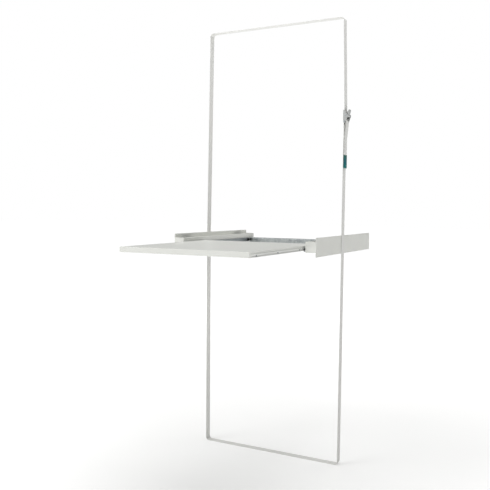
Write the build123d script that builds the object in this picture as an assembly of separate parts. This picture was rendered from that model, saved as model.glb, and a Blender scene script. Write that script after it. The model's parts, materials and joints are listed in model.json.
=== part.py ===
from build123d import *
import os
from math import cos, radians, sin, sqrt, tan

# Stacking frame with a pull-out shelf and a securing strap, in millimetres.
# +Z is up, the front is -Y, and the origin is in the middle of the frame's underside.
# The shelf is drawn pulled out to its stop, and the strap is drawn tight.

# Frame
KIT_WIDTH = 605.0
KIT_DEPTH = 600.0
BEAM_WIDTH = 43.0
BEAM_HEIGHT = 40.0
WALL = 3.0
DECK_TOP = 30.0
DECK = 3.0
UPPER_LIP = 15.0
LOWER_LIP = 16.0
LIP_EASE = 1.2
RIB = 2.4
rib_place_shares = (-0.3125, -0.1875, -0.0625, 0.0625, 0.1875, 0.3125)
BOSS_RADIUS = 4.2
SIDE_BOSS_DEPTH = 8.0
CAP = 3.0
CAP_EASE = 1.4
CAP_TAB_LENGTH = 12.0
CAP_TAB_WIDTH = 6.0
CAP_TAB = 2.4

# Rubber pads
FOOT_PAD = 3.0
FOOT_PAD_LENGTH = 70.0
BASE_PAD = 4.0
BASE_PAD_LENGTH = 50.0
PAD_PLAY = 0.5
PAD_CORNER = 2.0
foot_pad_place_shares = (-0.36, 0.36)
base_pad_place_shares = (-0.25, 0.25)
FOOT_PAD_GROOVE = 1.0
foot_pad_groove_shares = (-0.3, -0.1, 0.1, 0.3)

# Galvanised bars between the beams
CROSSBAR_DEPTH = 36.0
CROSSBAR_HEIGHT = 20.0
CROSSBAR_SHEET = 1.5
CROSSBAR_BEND = 2.5
CROSSBAR_BACK_GAP = 6.0
TIE_BAR_WIDTH = 30.0
TIE_BAR = 3.0
BAR_END_GAP = 3.0
BAR_PLAY = 0.4
BAR_SCREW_INSET = 22.0
bar_screw_pair_shares = (-0.25, 0.25)

# Screws; they, their bosses and holes, and other small round parts are drawn eight-sided
SCREW_RADIUS = 1.7
SCREW_HEAD_RADIUS = 2.9
SCREW_HEAD = 1.8
SCREW_HEAD_EASE = 0.6
SCREW_LENGTH = 8.0
CROSSBAR_SCREW_LENGTH = 7.0
TIE_SCREW_LENGTH = 16.0
FLAT_HEAD_RADIUS = 3.1
FLAT_HEAD = 1.0
SCREW_PLAY = 0.06
SCREW_END_GAP = 0.5
SMALL_SIDES = 8

# Ball-bearing slides: outer member on the beam, inner member on the shelf
SLIDE_HEIGHT = 17.0
SLIDE_THICK = 10.0
SLIDE_CENTRE = 12.0
SLIDE_FRONT_GAP = 2.0
SLIDE_BACK_GAP = 6.0
MEMBER_SHEET = 1.0
MEMBER_BEND = 1.5
BALL_RADIUS = 1.5
BALL_PLAY = 0.1
BALL_OUT = 5.0
CURL_ANGLE = 62.0
CAGE_SHEET = 0.5
CAGE_LENGTH = 100.0
CAGE_BACK = 3.0
CAGE_LIP = 2.2
CAGE_GAP = 0.5
CAGE_HOLE_PLAY = 0.15
BALLS_IN_ROW = 5
STOP_TAB = 3.0
STOP_TAB_HEIGHT = 5.0
STOP_TAB_GAP = 0.5
OUTER_TAB_INSET = 5.0
INNER_TAB_INSET = 16.5
BUMPER_LENGTH = 16.0
BUMPER_GAP = 0.5
BUMPER_EASE = 0.5
slide_screw_shares = (0.04, 0.30, 0.68, 0.95)
shelf_screw_shares = (0.06, 0.36, 0.70, 0.94)

# Shelf
SHELF_THICK = 19.0
SHELF_BOTTOM = 6.0
SHELF_SHEET = 1.2
SHELF_BEND = 2.0
SHELF_RETURN = 9.0
SHELF_BACK_GAP = 4.0
SHELF_END_FLANGE = 14.0
TRIM_DEPTH = 14.0
TRIM_WALL = 2.5
TRIM_OVERHANG = 1.0
TRIM_ROUND = 1.5
TRIM_END_EASE = 0.8
GRIP_DEPTH = 8.0
TRIM_BOSS_RADIUS = 4.0
trim_screw_shares = (-0.4, 0.0, 0.4)
STIFFENER_WIDTH = 46.0
STIFFENER_CROWN = 22.0
STIFFENER_HEIGHT = 9.0
STIFFENER_SHEET = 1.0
STIFFENER_END_GAP = 14.0
stiffener_place_shares = (0.34, 0.72)

# Strap: one webbing band round the frame and what stands above and below it
STRAP_WIDTH = 30.0
STRAP_THICK = 1.5
STRAP_GAP = 0.3
LOOP_WIDTH_ABOVE = 595.0
LOOP_WIDTH_BELOW = 597.0
LOOP_TOP = 895.0
LOOP_BOTTOM = -845.0
CORNER_RADIUS = 12.0
CORNER_LEG = 1.0
STRAP_TOP_Y = -23.0
STRAP_FRAME_Y = -34.0
STRAP_BOTTOM_Y = -40.0

# Cam buckle, on the right of the upper part of the loop
BUCKLE_Y = -11.0
BUCKLE_Z = 516.0
BUCKLE_BACK = 0.5
BUCKLE_LENGTH = 50.0
BUCKLE_WIDTH = 42.0
CHEEK = 2.4
BASE_PLATE = 2.0
BASE_PLATE_LENGTH = 33.0
ANCHOR_RADIUS = 2.5
ANCHOR_OUT = 4.5
ANCHOR_DOWN = 20.0
PIN_RADIUS = 2.0
PIN_UP = 4.0
PIN_PLAY = 0.05
PIN_HEAD_RADIUS = 3.2
PIN_HEAD = 1.0
CHEEK_EDGE = 3.6
CAM_RADIUS = 7.2
CAM_GROWTH_PER_DEGREE = 0.025
CAM_TOOTH = 0.9
CAM_TEETH = 9
CAM_TOOTH_ANGLE = 13.0
CAM_SIDE_GAP = 0.6
SPRING_SPACE = 3.6
LEVER_THICK = 2.4
LEVER_BEND = 2.2
LEVER_REACH = 23.0
LEVER_RISE = 9.0
LEVER_WIDTH = 27.0
LEVER_END_ROUND = 7.0
GRIP_RIB = 0.8
grip_rib_shares = (0.55, 0.7, 0.85)
SPRING_WIRE = 0.8
SPRING_RADIUS = 3.3
SPRING_PITCH = 1.1
SPRING_TURNS = 2.5

# Strap parts at the buckle
SEWN_LENGTH = 62.0
SEWN_MERGE = 26.0
SEWN_GAP = 0.1
TAIL_LENGTH = 177.0
TAIL_LIE = 3.6
TAIL_BEND = 6.0
TAIL_TURN_RADIUS = 3.0
TAIL_TURN_DOWN = 10.9
LABEL_LENGTH = 51.0
LABEL_WALL = 0.6
LABEL_MARGIN = 1.0
LABEL_PLAY = 0.05
LABEL_COVER = 48.0

# Overrun of cuts, the bite that fused pieces take of each other,
# and how near to a place a corner lies when it is picked there
OVER = 1.0
BITE = 0.4
NEAR = 0.2

# Places that several pieces share
HALF_WIDTH = KIT_WIDTH / 2
HALF_DEPTH = KIT_DEPTH / 2
INNER_FACE = HALF_WIDTH - BEAM_WIDTH
DECK_LOW = DECK_TOP - DECK
SHELF_TOP = SHELF_BOTTOM + SHELF_THICK
SHELF_SIDE = INNER_FACE - SLIDE_THICK
CROSSBAR_BACK = HALF_DEPTH - CROSSBAR_BACK_GAP
CROSSBAR_FRONT = CROSSBAR_BACK - CROSSBAR_DEPTH
SLIDE_FRONT = -HALF_DEPTH + SLIDE_FRONT_GAP
SLIDE_BACK = CROSSBAR_FRONT - SLIDE_BACK_GAP
BAR_HALF = HALF_WIDTH - WALL - BAR_END_GAP
BAR_SCREW_X = BAR_HALF - BAR_SCREW_INSET
TRAY_FRONT = -HALF_DEPTH + TRIM_DEPTH
TRAY_BACK = CROSSBAR_FRONT - SHELF_BACK_GAP
INNER_FRONT = TRAY_FRONT + BUMPER_GAP
INNER_BACK = SLIDE_BACK - BUMPER_LENGTH - BUMPER_GAP
CAGE_FRONT = SLIDE_FRONT + OUTER_TAB_INSET + CAGE_GAP
TRAVEL = INNER_BACK - INNER_TAB_INSET - (CAGE_FRONT + CAGE_LENGTH + STOP_TAB_GAP)


def block(x, y, z):
    """A block from its low and high value along each axis."""
    size = (x[1] - x[0], y[1] - y[0], z[1] - z[0])
    return Pos(x[0], y[0], z[0]) * Box(*size, align=(Align.MIN, Align.MIN, Align.MIN))


def along_y(section, low, high):
    """A section drawn as (x, z), drawn out from y = low to y = high."""
    return Pos(0, high, 0) * extrude(Plane.XZ * section, amount=high - low)


def along_x(section, low, high):
    """A section drawn as (y, z), drawn out from x = low to x = high."""
    return Pos(low, 0, 0) * extrude(Plane.YZ * section, amount=high - low)


def rod(radius, start, end):
    """A round rod between two points."""
    line = Vector(*end) - Vector(*start)
    plane = Plane(origin=start, z_dir=line)
    return plane * Cylinder(radius, line.length, align=(Align.CENTER, Align.CENTER, Align.MIN))


def outline(points):
    """A flat face inside a closed line through the points."""
    return make_face(Polyline(*points, close=True))


def eased(section, height, size):
    """Bevels the corners of a section that lie at one height."""
    corners = [v for v in section.vertices() if abs(v.Y - height) < NEAR]
    return chamfer(corners, size)


def rounded_at(section, across, height, radius):
    """Rounds the one corner of a section that lies at a place."""
    corners = [v for v in section.vertices() if abs(v.X - across) < NEAR and abs(v.Y - height) < NEAR]
    return fillet(corners, radius)


def mirrored(shape):
    """The left-hand twin of a right-hand piece."""
    return mirror(shape, about=Plane.YZ)


def small_rings(start, direction, *rings):
    """A small eight-sided turned piece: its radius at each distance from start along direction."""
    sections = [Pos(0, 0, place) * RegularPolygon(radius, SMALL_SIDES) for place, radius in rings]
    return Plane(origin=start, z_dir=direction) * loft(sections, ruled=True)


def small_rod(radius, start, end):
    """A small eight-sided rod between two points."""
    line = Vector(*end) - Vector(*start)
    return small_rings(start, line, (0, radius), (line.length, radius))


def pan_screw(head, direction, length):
    """A pan-head screw whose head's underside is at head, driven along direction."""
    dome = small_rings(head, direction, (-SCREW_HEAD, SCREW_HEAD_RADIUS - SCREW_HEAD_EASE),
                       (-SCREW_HEAD + SCREW_HEAD_EASE, SCREW_HEAD_RADIUS), (0, SCREW_HEAD_RADIUS))
    return dome + small_rings(head, direction, (-BITE, SCREW_RADIUS), (length, SCREW_RADIUS))


def flat_screw(face, direction, length):
    """A flat-head screw whose head is flush with a surface at face."""
    return small_rings(face, direction, (0, FLAT_HEAD_RADIUS), (FLAT_HEAD, SCREW_RADIUS),
                       (length, SCREW_RADIUS))


def flat_screw_hole(face, direction, length):
    """The countersunk hole that a flat-head screw sits in."""
    wide, narrow = FLAT_HEAD_RADIUS + SCREW_PLAY, SCREW_RADIUS + SCREW_PLAY
    return small_rings(face, direction, (-OVER, wide), (0, wide), (FLAT_HEAD, narrow), (length, narrow))


def save(name, *solids):
    """Writes one node: a single solid, or a group of separate ones."""
    shape = solids[0] if len(solids) == 1 else Compound(children=list(solids))
    export_step(shape, f"parts/{name}.step")


# Places of the screws, each worked out from the piece that carries it
slide_screw_ys = [SLIDE_FRONT + share * (SLIDE_BACK - SLIDE_FRONT) for share in slide_screw_shares]
shelf_screw_ys = [INNER_FRONT + share * (INNER_BACK - INNER_FRONT) for share in shelf_screw_shares]
crossbar_screw_ys = [
    (CROSSBAR_FRONT + CROSSBAR_BACK) / 2 + share * CROSSBAR_DEPTH for share in bar_screw_pair_shares
]
tie_bar_screw_ys = [share * TIE_BAR_WIDTH for share in bar_screw_pair_shares]
rib_ys = [share * KIT_DEPTH for share in rib_place_shares]
base_pad_ys = [share * KIT_DEPTH for share in base_pad_place_shares]
foot_pad_ys = [share * KIT_DEPTH for share in foot_pad_place_shares]
hollow_x = (INNER_FACE + WALL, HALF_WIDTH - WALL)


def side_beam():
    """Moulded beam: a foot channel on top, ribs and screw bosses in the hollow below."""
    lip_top, lip_low = BEAM_HEIGHT + UPPER_LIP, -LOWER_LIP
    section = outline([
        (INNER_FACE, 0), (INNER_FACE, BEAM_HEIGHT), (hollow_x[0], BEAM_HEIGHT), (hollow_x[0], DECK_TOP),
        (hollow_x[1], DECK_TOP), (hollow_x[1], lip_top), (HALF_WIDTH, lip_top), (HALF_WIDTH, lip_low),
        (hollow_x[1], lip_low), (hollow_x[1], DECK_LOW), (hollow_x[0], DECK_LOW), (hollow_x[0], 0),
    ])
    for height in (lip_top, lip_low, BEAM_HEIGHT):
        section = eased(section, height, LIP_EASE)
    ends = (-HALF_DEPTH + CAP, HALF_DEPTH - CAP)
    beam = along_y(section, *ends)
    inside = (hollow_x[0] - BITE, hollow_x[1] + BITE)
    additions = [block(inside, (y - RIB / 2, y + RIB / 2), (0, DECK_LOW + BITE)) for y in rib_ys]
    for y in base_pad_ys:
        half = BASE_PAD_LENGTH / 2 + WALL
        additions.append(block(inside, (y - half, y + half), (BASE_PAD, BASE_PAD + DECK)))
    for y in slide_screw_ys:
        start = (INNER_FACE + WALL - BITE, y, SLIDE_CENTRE)
        additions.append(small_rod(BOSS_RADIUS, start, (start[0] + SIDE_BOSS_DEPTH, y, SLIDE_CENTRE)))
    for low, places in ((CROSSBAR_HEIGHT, crossbar_screw_ys), (TIE_BAR, tie_bar_screw_ys)):
        for y in places:
            additions.append(small_rod(BOSS_RADIUS, (BAR_SCREW_X, y, low), (BAR_SCREW_X, y, DECK_LOW + BITE)))
    beam = beam + additions
    through = (INNER_FACE - OVER, hollow_x[0] + OVER)
    cuts = [
        block(through, (CROSSBAR_FRONT - BAR_PLAY, CROSSBAR_BACK + BAR_PLAY),
              (-OVER, CROSSBAR_HEIGHT + BAR_PLAY)),
        block(through, (-TIE_BAR_WIDTH / 2 - BAR_PLAY, TIE_BAR_WIDTH / 2 + BAR_PLAY),
              (-OVER, TIE_BAR + BAR_PLAY)),
    ]
    bore = SCREW_RADIUS + SCREW_PLAY
    for y in slide_screw_ys:
        end_x = INNER_FACE - MEMBER_SHEET + SCREW_LENGTH + SCREW_END_GAP
        cuts.append(small_rod(bore, (INNER_FACE - OVER, y, SLIDE_CENTRE), (end_x, y, SLIDE_CENTRE)))
    for y in crossbar_screw_ys:
        top = CROSSBAR_HEIGHT - CROSSBAR_SHEET + CROSSBAR_SCREW_LENGTH + SCREW_END_GAP
        cuts.append(small_rod(bore, (BAR_SCREW_X, y, CROSSBAR_HEIGHT - OVER), (BAR_SCREW_X, y, top)))
    for y in tie_bar_screw_ys:
        top = TIE_SCREW_LENGTH + SCREW_END_GAP
        cuts.append(small_rod(bore, (BAR_SCREW_X, y, TIE_BAR - OVER), (BAR_SCREW_X, y, top)))
    return beam - cuts


def end_cap(facing):
    """Moulded plate that closes a beam's end; two tabs under the deck hold it."""
    lip_top, lip_low = BEAM_HEIGHT + UPPER_LIP, -LOWER_LIP
    plate_y = (facing * HALF_DEPTH, facing * (HALF_DEPTH - CAP))
    section = outline([
        (INNER_FACE, 0), (INNER_FACE, BEAM_HEIGHT), (hollow_x[1], BEAM_HEIGHT), (hollow_x[1], lip_top),
        (HALF_WIDTH, lip_top), (HALF_WIDTH, lip_low), (hollow_x[1], lip_low), (hollow_x[1], 0),
    ])
    for height in (lip_top, lip_low):
        section = eased(section, height, LIP_EASE)
    plate = along_y(section, min(plate_y), max(plate_y))
    shown = plate.faces().sort_by(Axis.Y)[0 if facing < 0 else -1]
    upright = [e for e in shown.edges() if e.length > BEAM_HEIGHT - NEAR]
    plate = fillet(upright, CAP_EASE)
    inner_y = facing * (HALF_DEPTH - CAP - CAP_TAB_LENGTH)
    tab_y = (min(plate_y[1] + facing * BITE, inner_y), max(plate_y[1] + facing * BITE, inner_y))
    tab_z = (DECK_LOW - PAD_PLAY - CAP_TAB, DECK_LOW - PAD_PLAY)
    tab_ends = (BAR_SCREW_X - BOSS_RADIUS - PAD_PLAY, hollow_x[1] - PAD_PLAY)
    tab_x = [(end - CAP_TAB_WIDTH, end) for end in tab_ends]
    return plate + [block(x, tab_y, tab_z) for x in tab_x]


def foot_pad(y):
    """Ribbed rubber pad in the channel, under one foot of what stands on the frame."""
    x = (hollow_x[0] + PAD_PLAY, hollow_x[1] - PAD_PLAY)
    half = FOOT_PAD_LENGTH / 2
    pad = block(x, (y - half, y + half), (DECK_TOP, DECK_TOP + FOOT_PAD))
    for share in foot_pad_groove_shares:
        place = y + share * FOOT_PAD_LENGTH
        groove_y = (place - FOOT_PAD_GROOVE, place + FOOT_PAD_GROOVE)
        pad -= block((x[0] - OVER, x[1] + OVER), groove_y,
                     (DECK_TOP + FOOT_PAD - FOOT_PAD_GROOVE, DECK_TOP + FOOT_PAD + OVER))
    return pad


def base_pad(y):
    """Rubber pad under the beam, seated against a web between its walls."""
    x = (hollow_x[0] + PAD_PLAY, hollow_x[1] - PAD_PLAY)
    half = BASE_PAD_LENGTH / 2
    pad = block(x, (y - half, y + half), (0, BASE_PAD))
    return chamfer(pad.edges().filter_by(Axis.Z), PAD_CORNER)


def rear_crossbar():
    """Galvanised sheet folded to an upside-down channel, its ends inside the beams."""
    half_sheet = CROSSBAR_SHEET / 2
    front, back = CROSSBAR_FRONT + half_sheet, CROSSBAR_BACK - half_sheet
    top = CROSSBAR_HEIGHT - half_sheet
    line = FilletPolyline((front, 0), (front, top), (back, top), (back, 0), radius=CROSSBAR_BEND)
    bar = along_x(trace(line, line_width=CROSSBAR_SHEET), -BAR_HALF, BAR_HALF)
    bore = SCREW_RADIUS + SCREW_PLAY
    holes = [
        small_rod(bore, (side * BAR_SCREW_X, y, CROSSBAR_HEIGHT - CROSSBAR_SHEET - OVER),
                  (side * BAR_SCREW_X, y, CROSSBAR_HEIGHT + OVER))
        for side in (-1, 1) for y in crossbar_screw_ys
    ]
    return bar - holes


def tie_bar():
    """Galvanised flat bar that keeps the beams apart under the shelf."""
    half = TIE_BAR_WIDTH / 2
    bar = block((-BAR_HALF, BAR_HALF), (-half, half), (0, TIE_BAR))
    places = [(side * BAR_SCREW_X, y) for side in (-1, 1) for y in tie_bar_screw_ys]
    return bar - [flat_screw_hole((x, y, 0), (0, 0, 1), TIE_BAR + OVER) for x, y in places]


# Ball-bearing slide: lines down the middle of each folded sheet, drawn as (x, z)
ball_x = INNER_FACE - BALL_OUT
race_radius = BALL_RADIUS + BALL_PLAY
ball_z = SLIDE_HEIGHT / 2 - MEMBER_SHEET - race_radius
groove_radius = race_radius + MEMBER_SHEET / 2


def folded(web_x, flange_z, tip_x, bend, sheet, start_angle, curl):
    """A C-shaped folded strip round the slide's middle, its flanges ending in a curl."""
    inward = 1 if tip_x > web_x else -1
    corner_x, corner_z = web_x + inward * bend, flange_z - bend
    pieces = []
    for side in (-1, 1):
        pieces.append(Line((web_x, 0), (web_x, side * corner_z)))
        corner = (corner_x, side * flange_z)
        middle = (web_x + inward * bend * (1 - cos(radians(45))), side * (corner_z + bend * sin(radians(45))))
        pieces.append(ThreePointArc((web_x, side * corner_z), middle, corner))
        pieces.append(Line(corner, (tip_x, side * flange_z)))
        if curl:
            pieces.append(CenterArc((tip_x, side * ball_z), groove_radius, side * start_angle, side * curl))
    line = Curve() + pieces
    return Pos(0, SLIDE_CENTRE) * trace(line, line_width=sheet)


outer_web_x = INNER_FACE - MEMBER_SHEET / 2
inner_web_x = SHELF_SIDE + MEMBER_SHEET / 2
cage_web_x = ball_x + CAGE_BACK
ball_places = [
    -CAGE_LENGTH / 2 + (step + 0.5) * CAGE_LENGTH / BALLS_IN_ROW for step in range(BALLS_IN_ROW)
]
cage_middle_out = CAGE_FRONT + CAGE_LENGTH / 2


def outer_member():
    """Outer member, screwed to the beam, with a tab that stops the cage at the front."""
    section = folded(outer_web_x, SLIDE_HEIGHT / 2 - MEMBER_SHEET / 2, ball_x, MEMBER_BEND,
                     MEMBER_SHEET, 90, CURL_ANGLE)
    member = along_y(section, SLIDE_FRONT, SLIDE_BACK)
    tab_end = CAGE_FRONT - CAGE_GAP
    tab_z = (SLIDE_CENTRE - STOP_TAB_HEIGHT / 2, SLIDE_CENTRE + STOP_TAB_HEIGHT / 2)
    tab_x = (cage_web_x - STOP_TAB / 2, INNER_FACE - MEMBER_SHEET + BITE)
    member += block(tab_x, (tab_end - MEMBER_SHEET, tab_end), tab_z)
    holes = [
        flat_screw_hole((INNER_FACE - MEMBER_SHEET, y, SLIDE_CENTRE), (1, 0, 0), MEMBER_SHEET + OVER)
        for y in slide_screw_ys
    ]
    return member - holes


def inner_member():
    """Inner member, screwed to the shelf's side, with a tab that stops at the cage."""
    section = folded(inner_web_x, ball_z - groove_radius, ball_x, MEMBER_SHEET,
                     MEMBER_SHEET, -90, CURL_ANGLE)
    member = along_y(section, INNER_FRONT, INNER_BACK)
    tab_front = INNER_BACK - INNER_TAB_INSET
    tab_z = (SLIDE_CENTRE - STOP_TAB_HEIGHT / 2, SLIDE_CENTRE + STOP_TAB_HEIGHT / 2)
    tab_x = (SHELF_SIDE + MEMBER_SHEET - BITE, cage_web_x + CAGE_SHEET / 2)
    member += block(tab_x, (tab_front, tab_front + MEMBER_SHEET), tab_z)
    bore = SCREW_RADIUS + SCREW_PLAY
    low, high = SHELF_SIDE - OVER, SHELF_SIDE + MEMBER_SHEET + OVER
    return member - [small_rod(bore, (low, y, SLIDE_CENTRE), (high, y, SLIDE_CENTRE)) for y in shelf_screw_ys]


def ball_cage():
    """Thin pressed cage that keeps the balls apart, about its own middle."""
    section = folded(cage_web_x, ball_z, ball_x - CAGE_LIP, MEMBER_SHEET, CAGE_SHEET, 0, 0)
    cage = along_y(section, -CAGE_LENGTH / 2, CAGE_LENGTH / 2)
    low, high = SLIDE_CENTRE - SLIDE_HEIGHT / 2, SLIDE_CENTRE + SLIDE_HEIGHT / 2
    hole = BALL_RADIUS + CAGE_HOLE_PLAY
    return cage - [small_rod(hole, (ball_x, y, low), (ball_x, y, high)) for y in ball_places]


def bearing_balls():
    """The balls of both rows of one cage, each the common part of three eight-sided bars."""
    half_side = radians(180 / SMALL_SIDES)
    size = BALL_RADIUS / (cos(half_side) * sqrt(1 + 2 * tan(half_side) ** 2))
    flat = RegularPolygon(size, SMALL_SIDES, rotation=180 / SMALL_SIDES)
    upright = extrude(flat, amount=BALL_RADIUS, both=True)
    ball = upright & (Rot(90, 0, 0) * upright) & (Rot(0, 90, 0) * upright)
    return [Pos(ball_x, y, SLIDE_CENTRE + side * ball_z) * ball for side in (-1, 1) for y in ball_places]


def rear_bumper():
    """Moulded block in the outer member's back end, where the closed shelf stops."""
    x = (SHELF_SIDE + MEMBER_SHEET + BUMPER_GAP, INNER_FACE - MEMBER_SHEET)
    half = ball_z - race_radius
    bumper = block(x, (INNER_BACK + BUMPER_GAP, SLIDE_BACK), (SLIDE_CENTRE - half, SLIDE_CENTRE + half))
    return chamfer(bumper.edges().filter_by(Axis.Y), BUMPER_EASE)


def outer_screws():
    """Flat-head screws from the slide into the beam's side bosses."""
    face = INNER_FACE - MEMBER_SHEET
    return [flat_screw((face, y, SLIDE_CENTRE), (1, 0, 0), SCREW_LENGTH) for y in slide_screw_ys]


def inner_screws():
    """Pan-head screws from the slide into the shelf's side."""
    face = SHELF_SIDE + MEMBER_SHEET
    length = MEMBER_SHEET + SHELF_SHEET + SCREW_HEAD
    return [pan_screw((face, y, SLIDE_CENTRE), (-1, 0, 0), length) for y in shelf_screw_ys]


def shelf_tray():
    """White sheet steel folded down at both sides and both ends, with returned lower edges."""
    half_sheet = SHELF_SHEET / 2
    side, top, low = SHELF_SIDE - half_sheet, SHELF_TOP - half_sheet, SHELF_BOTTOM + half_sheet
    lip = SHELF_SIDE - SHELF_RETURN
    line = FilletPolyline((-lip, low), (-side, low), (-side, top), (side, top), (side, low), (lip, low),
                          radius=SHELF_BEND)
    tray = along_y(trace(line, line_width=SHELF_SHEET), TRAY_FRONT, TRAY_BACK)
    across = (-SHELF_SIDE + SHELF_SHEET + SHELF_BEND, SHELF_SIDE - SHELF_SHEET - SHELF_BEND)
    flange_z = (SHELF_TOP - SHELF_END_FLANGE, SHELF_TOP - BITE)
    tray += block(across, (TRAY_FRONT, TRAY_FRONT + SHELF_SHEET), flange_z)
    tray += block(across, (TRAY_BACK - SHELF_SHEET, TRAY_BACK), flange_z)
    bore = SCREW_RADIUS + SCREW_PLAY
    holes = []
    for y in shelf_screw_ys:
        for hand in (-1, 1):
            start = (hand * (SHELF_SIDE - SHELF_SHEET - OVER), y, SLIDE_CENTRE)
            holes.append(small_rod(bore, start, (hand * (SHELF_SIDE + OVER), y, SLIDE_CENTRE)))
    for x in trim_screw_xs:
        start = (x, TRAY_FRONT - OVER, trim_screw_z)
        holes.append(small_rod(bore, start, (x, TRAY_FRONT + SHELF_SHEET + OVER, trim_screw_z)))
    return tray - holes


trim_half = SHELF_SIDE + TRIM_OVERHANG
trim_screw_xs = [share * SHELF_SIDE * 2 for share in trim_screw_shares]
trim_screw_z = SHELF_TOP - SHELF_END_FLANGE / 2


def shelf_front_trim():
    """Hollow moulded nose of the shelf, open underneath as a finger grip."""
    front = -HALF_DEPTH
    section = outline([
        (front, SHELF_BOTTOM), (front, SHELF_TOP), (TRAY_FRONT, SHELF_TOP), (TRAY_FRONT, SHELF_BOTTOM),
    ])
    for height in (SHELF_TOP, SHELF_BOTTOM):
        section = rounded_at(section, front, height, TRIM_ROUND)
    trim = along_x(section, -trim_half, trim_half)
    ends = trim.faces().sort_by(Axis.X)
    shown = [e for e in ends[0].edges() + ends[-1].edges() if e.center().Y < TRAY_FRONT - NEAR]
    trim = chamfer(shown, TRIM_END_EASE)
    inside_x = (-trim_half + TRIM_WALL, trim_half - TRIM_WALL)
    grip_y = (TRAY_FRONT - TRIM_WALL - GRIP_DEPTH, TRAY_FRONT - TRIM_WALL)
    trim -= block(inside_x, (front + TRIM_WALL, grip_y[1]), (SHELF_BOTTOM + TRIM_WALL, SHELF_TOP - TRIM_WALL))
    trim -= block(inside_x, grip_y, (SHELF_BOTTOM - OVER, SHELF_BOTTOM + TRIM_WALL + OVER))
    for x in trim_screw_xs:
        back = (x, TRAY_FRONT, trim_screw_z)
        trim += small_rod(TRIM_BOSS_RADIUS, back, (x, TRAY_FRONT - SCREW_LENGTH, trim_screw_z))
    for x in trim_screw_xs:
        back = (x, TRAY_FRONT + OVER, trim_screw_z)
        end = (x, TRAY_FRONT - SCREW_LENGTH + SHELF_SHEET, trim_screw_z)
        trim -= small_rod(SCREW_RADIUS + SCREW_PLAY, back, end)
    return trim


def trim_screws():
    """Pan-head screws through the tray's front flange into the nose."""
    y = TRAY_FRONT + SHELF_SHEET
    length = SCREW_LENGTH - SCREW_END_GAP
    return [pan_screw((x, y, trim_screw_z), (0, -1, 0), length) for x in trim_screw_xs]


def shelf_stiffener(y):
    """Hat-shaped steel strip spot-welded across under the tray."""
    half_sheet = STIFFENER_SHEET / 2
    top = SHELF_TOP - SHELF_SHEET - half_sheet
    low = top - STIFFENER_HEIGHT + STIFFENER_SHEET
    wide, crown = STIFFENER_WIDTH / 2, STIFFENER_CROWN / 2
    line = Polyline((y - wide, top), (y - crown, top), (y - crown, low), (y + crown, low),
                    (y + crown, top), (y + wide, top))
    half = SHELF_SIDE - STIFFENER_END_GAP
    return along_x(trace(line, line_width=STIFFENER_SHEET), -half, half)


# Strap: its middle line at each height, as x and y of the right-hand side
strap_off = STRAP_GAP + STRAP_THICK / 2
buckle_back = LOOP_WIDTH_ABOVE / 2 + BUCKLE_BACK
anchor_x, anchor_z = buckle_back + ANCHOR_OUT, BUCKLE_Z - ANCHOR_DOWN
wrap_radius = ANCHOR_RADIUS + STRAP_GAP + STRAP_THICK / 2
through_x = buckle_back + BASE_PLATE + strap_off
pin_z = BUCKLE_Z + PIN_UP
frame_x = HALF_WIDTH + strap_off
above_x = LOOP_WIDTH_ABOVE / 2 + strap_off
below_x = LOOP_WIDTH_BELOW / 2 + strap_off
corner_top_z = LOOP_TOP - CORNER_RADIUS - CORNER_LEG
corner_low_z = LOOP_BOTTOM + CORNER_RADIUS + CORNER_LEG
frame_top_z, frame_low_z = BEAM_HEIGHT + UPPER_LIP, -LOWER_LIP
buckle_top_z = BUCKLE_Z + BUCKLE_LENGTH / 2
wrap_foot_z = anchor_z - ANCHOR_RADIUS
upper_stations = [
    (through_x, BUCKLE_Y, pin_z), (through_x, BUCKLE_Y, buckle_top_z), (above_x, STRAP_TOP_Y, corner_top_z),
]
lower_stations = [
    (anchor_x - wrap_radius, BUCKLE_Y, wrap_foot_z), (frame_x, STRAP_FRAME_Y, frame_top_z),
    (frame_x, STRAP_FRAME_Y, frame_low_z), (below_x, STRAP_BOTTOM_Y, corner_low_z),
]
left_stations = [
    (-above_x, STRAP_TOP_Y, corner_top_z), (-frame_x, STRAP_FRAME_Y, frame_top_z),
    (-frame_x, STRAP_FRAME_Y, frame_low_z), (-below_x, STRAP_BOTTOM_Y, corner_low_z),
]


def webbing(stations):
    """A flat run of webbing through the stations, its width kept level."""
    band = Rectangle(STRAP_THICK, STRAP_WIDTH)
    return loft([Pos(*station) * band for station in stations], ruled=True)


def across_run(side_x, level, inside, y):
    """The run over the top or under the bottom, with its two rounded corners."""
    turn = CORNER_RADIUS + strap_off
    far = level + inside * (turn + CORNER_LEG)
    line = FilletPolyline((-side_x, level), (-side_x, far), (side_x, far), (side_x, level), radius=turn)
    return along_y(trace(line, line_width=STRAP_THICK), y - STRAP_WIDTH / 2, y + STRAP_WIDTH / 2)


def on_lower_run(z, out):
    """A place at height z on the sewn end's run, moved out from its middle line."""
    (x0, y0, z0), (x1, y1, z1) = lower_stations[:2]
    share = (z - z0) / (z1 - z0)
    return (x0 + share * (x1 - x0) + out, y0 + share * (y1 - y0), z)


sewn_end_z = wrap_foot_z - SEWN_LENGTH


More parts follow.
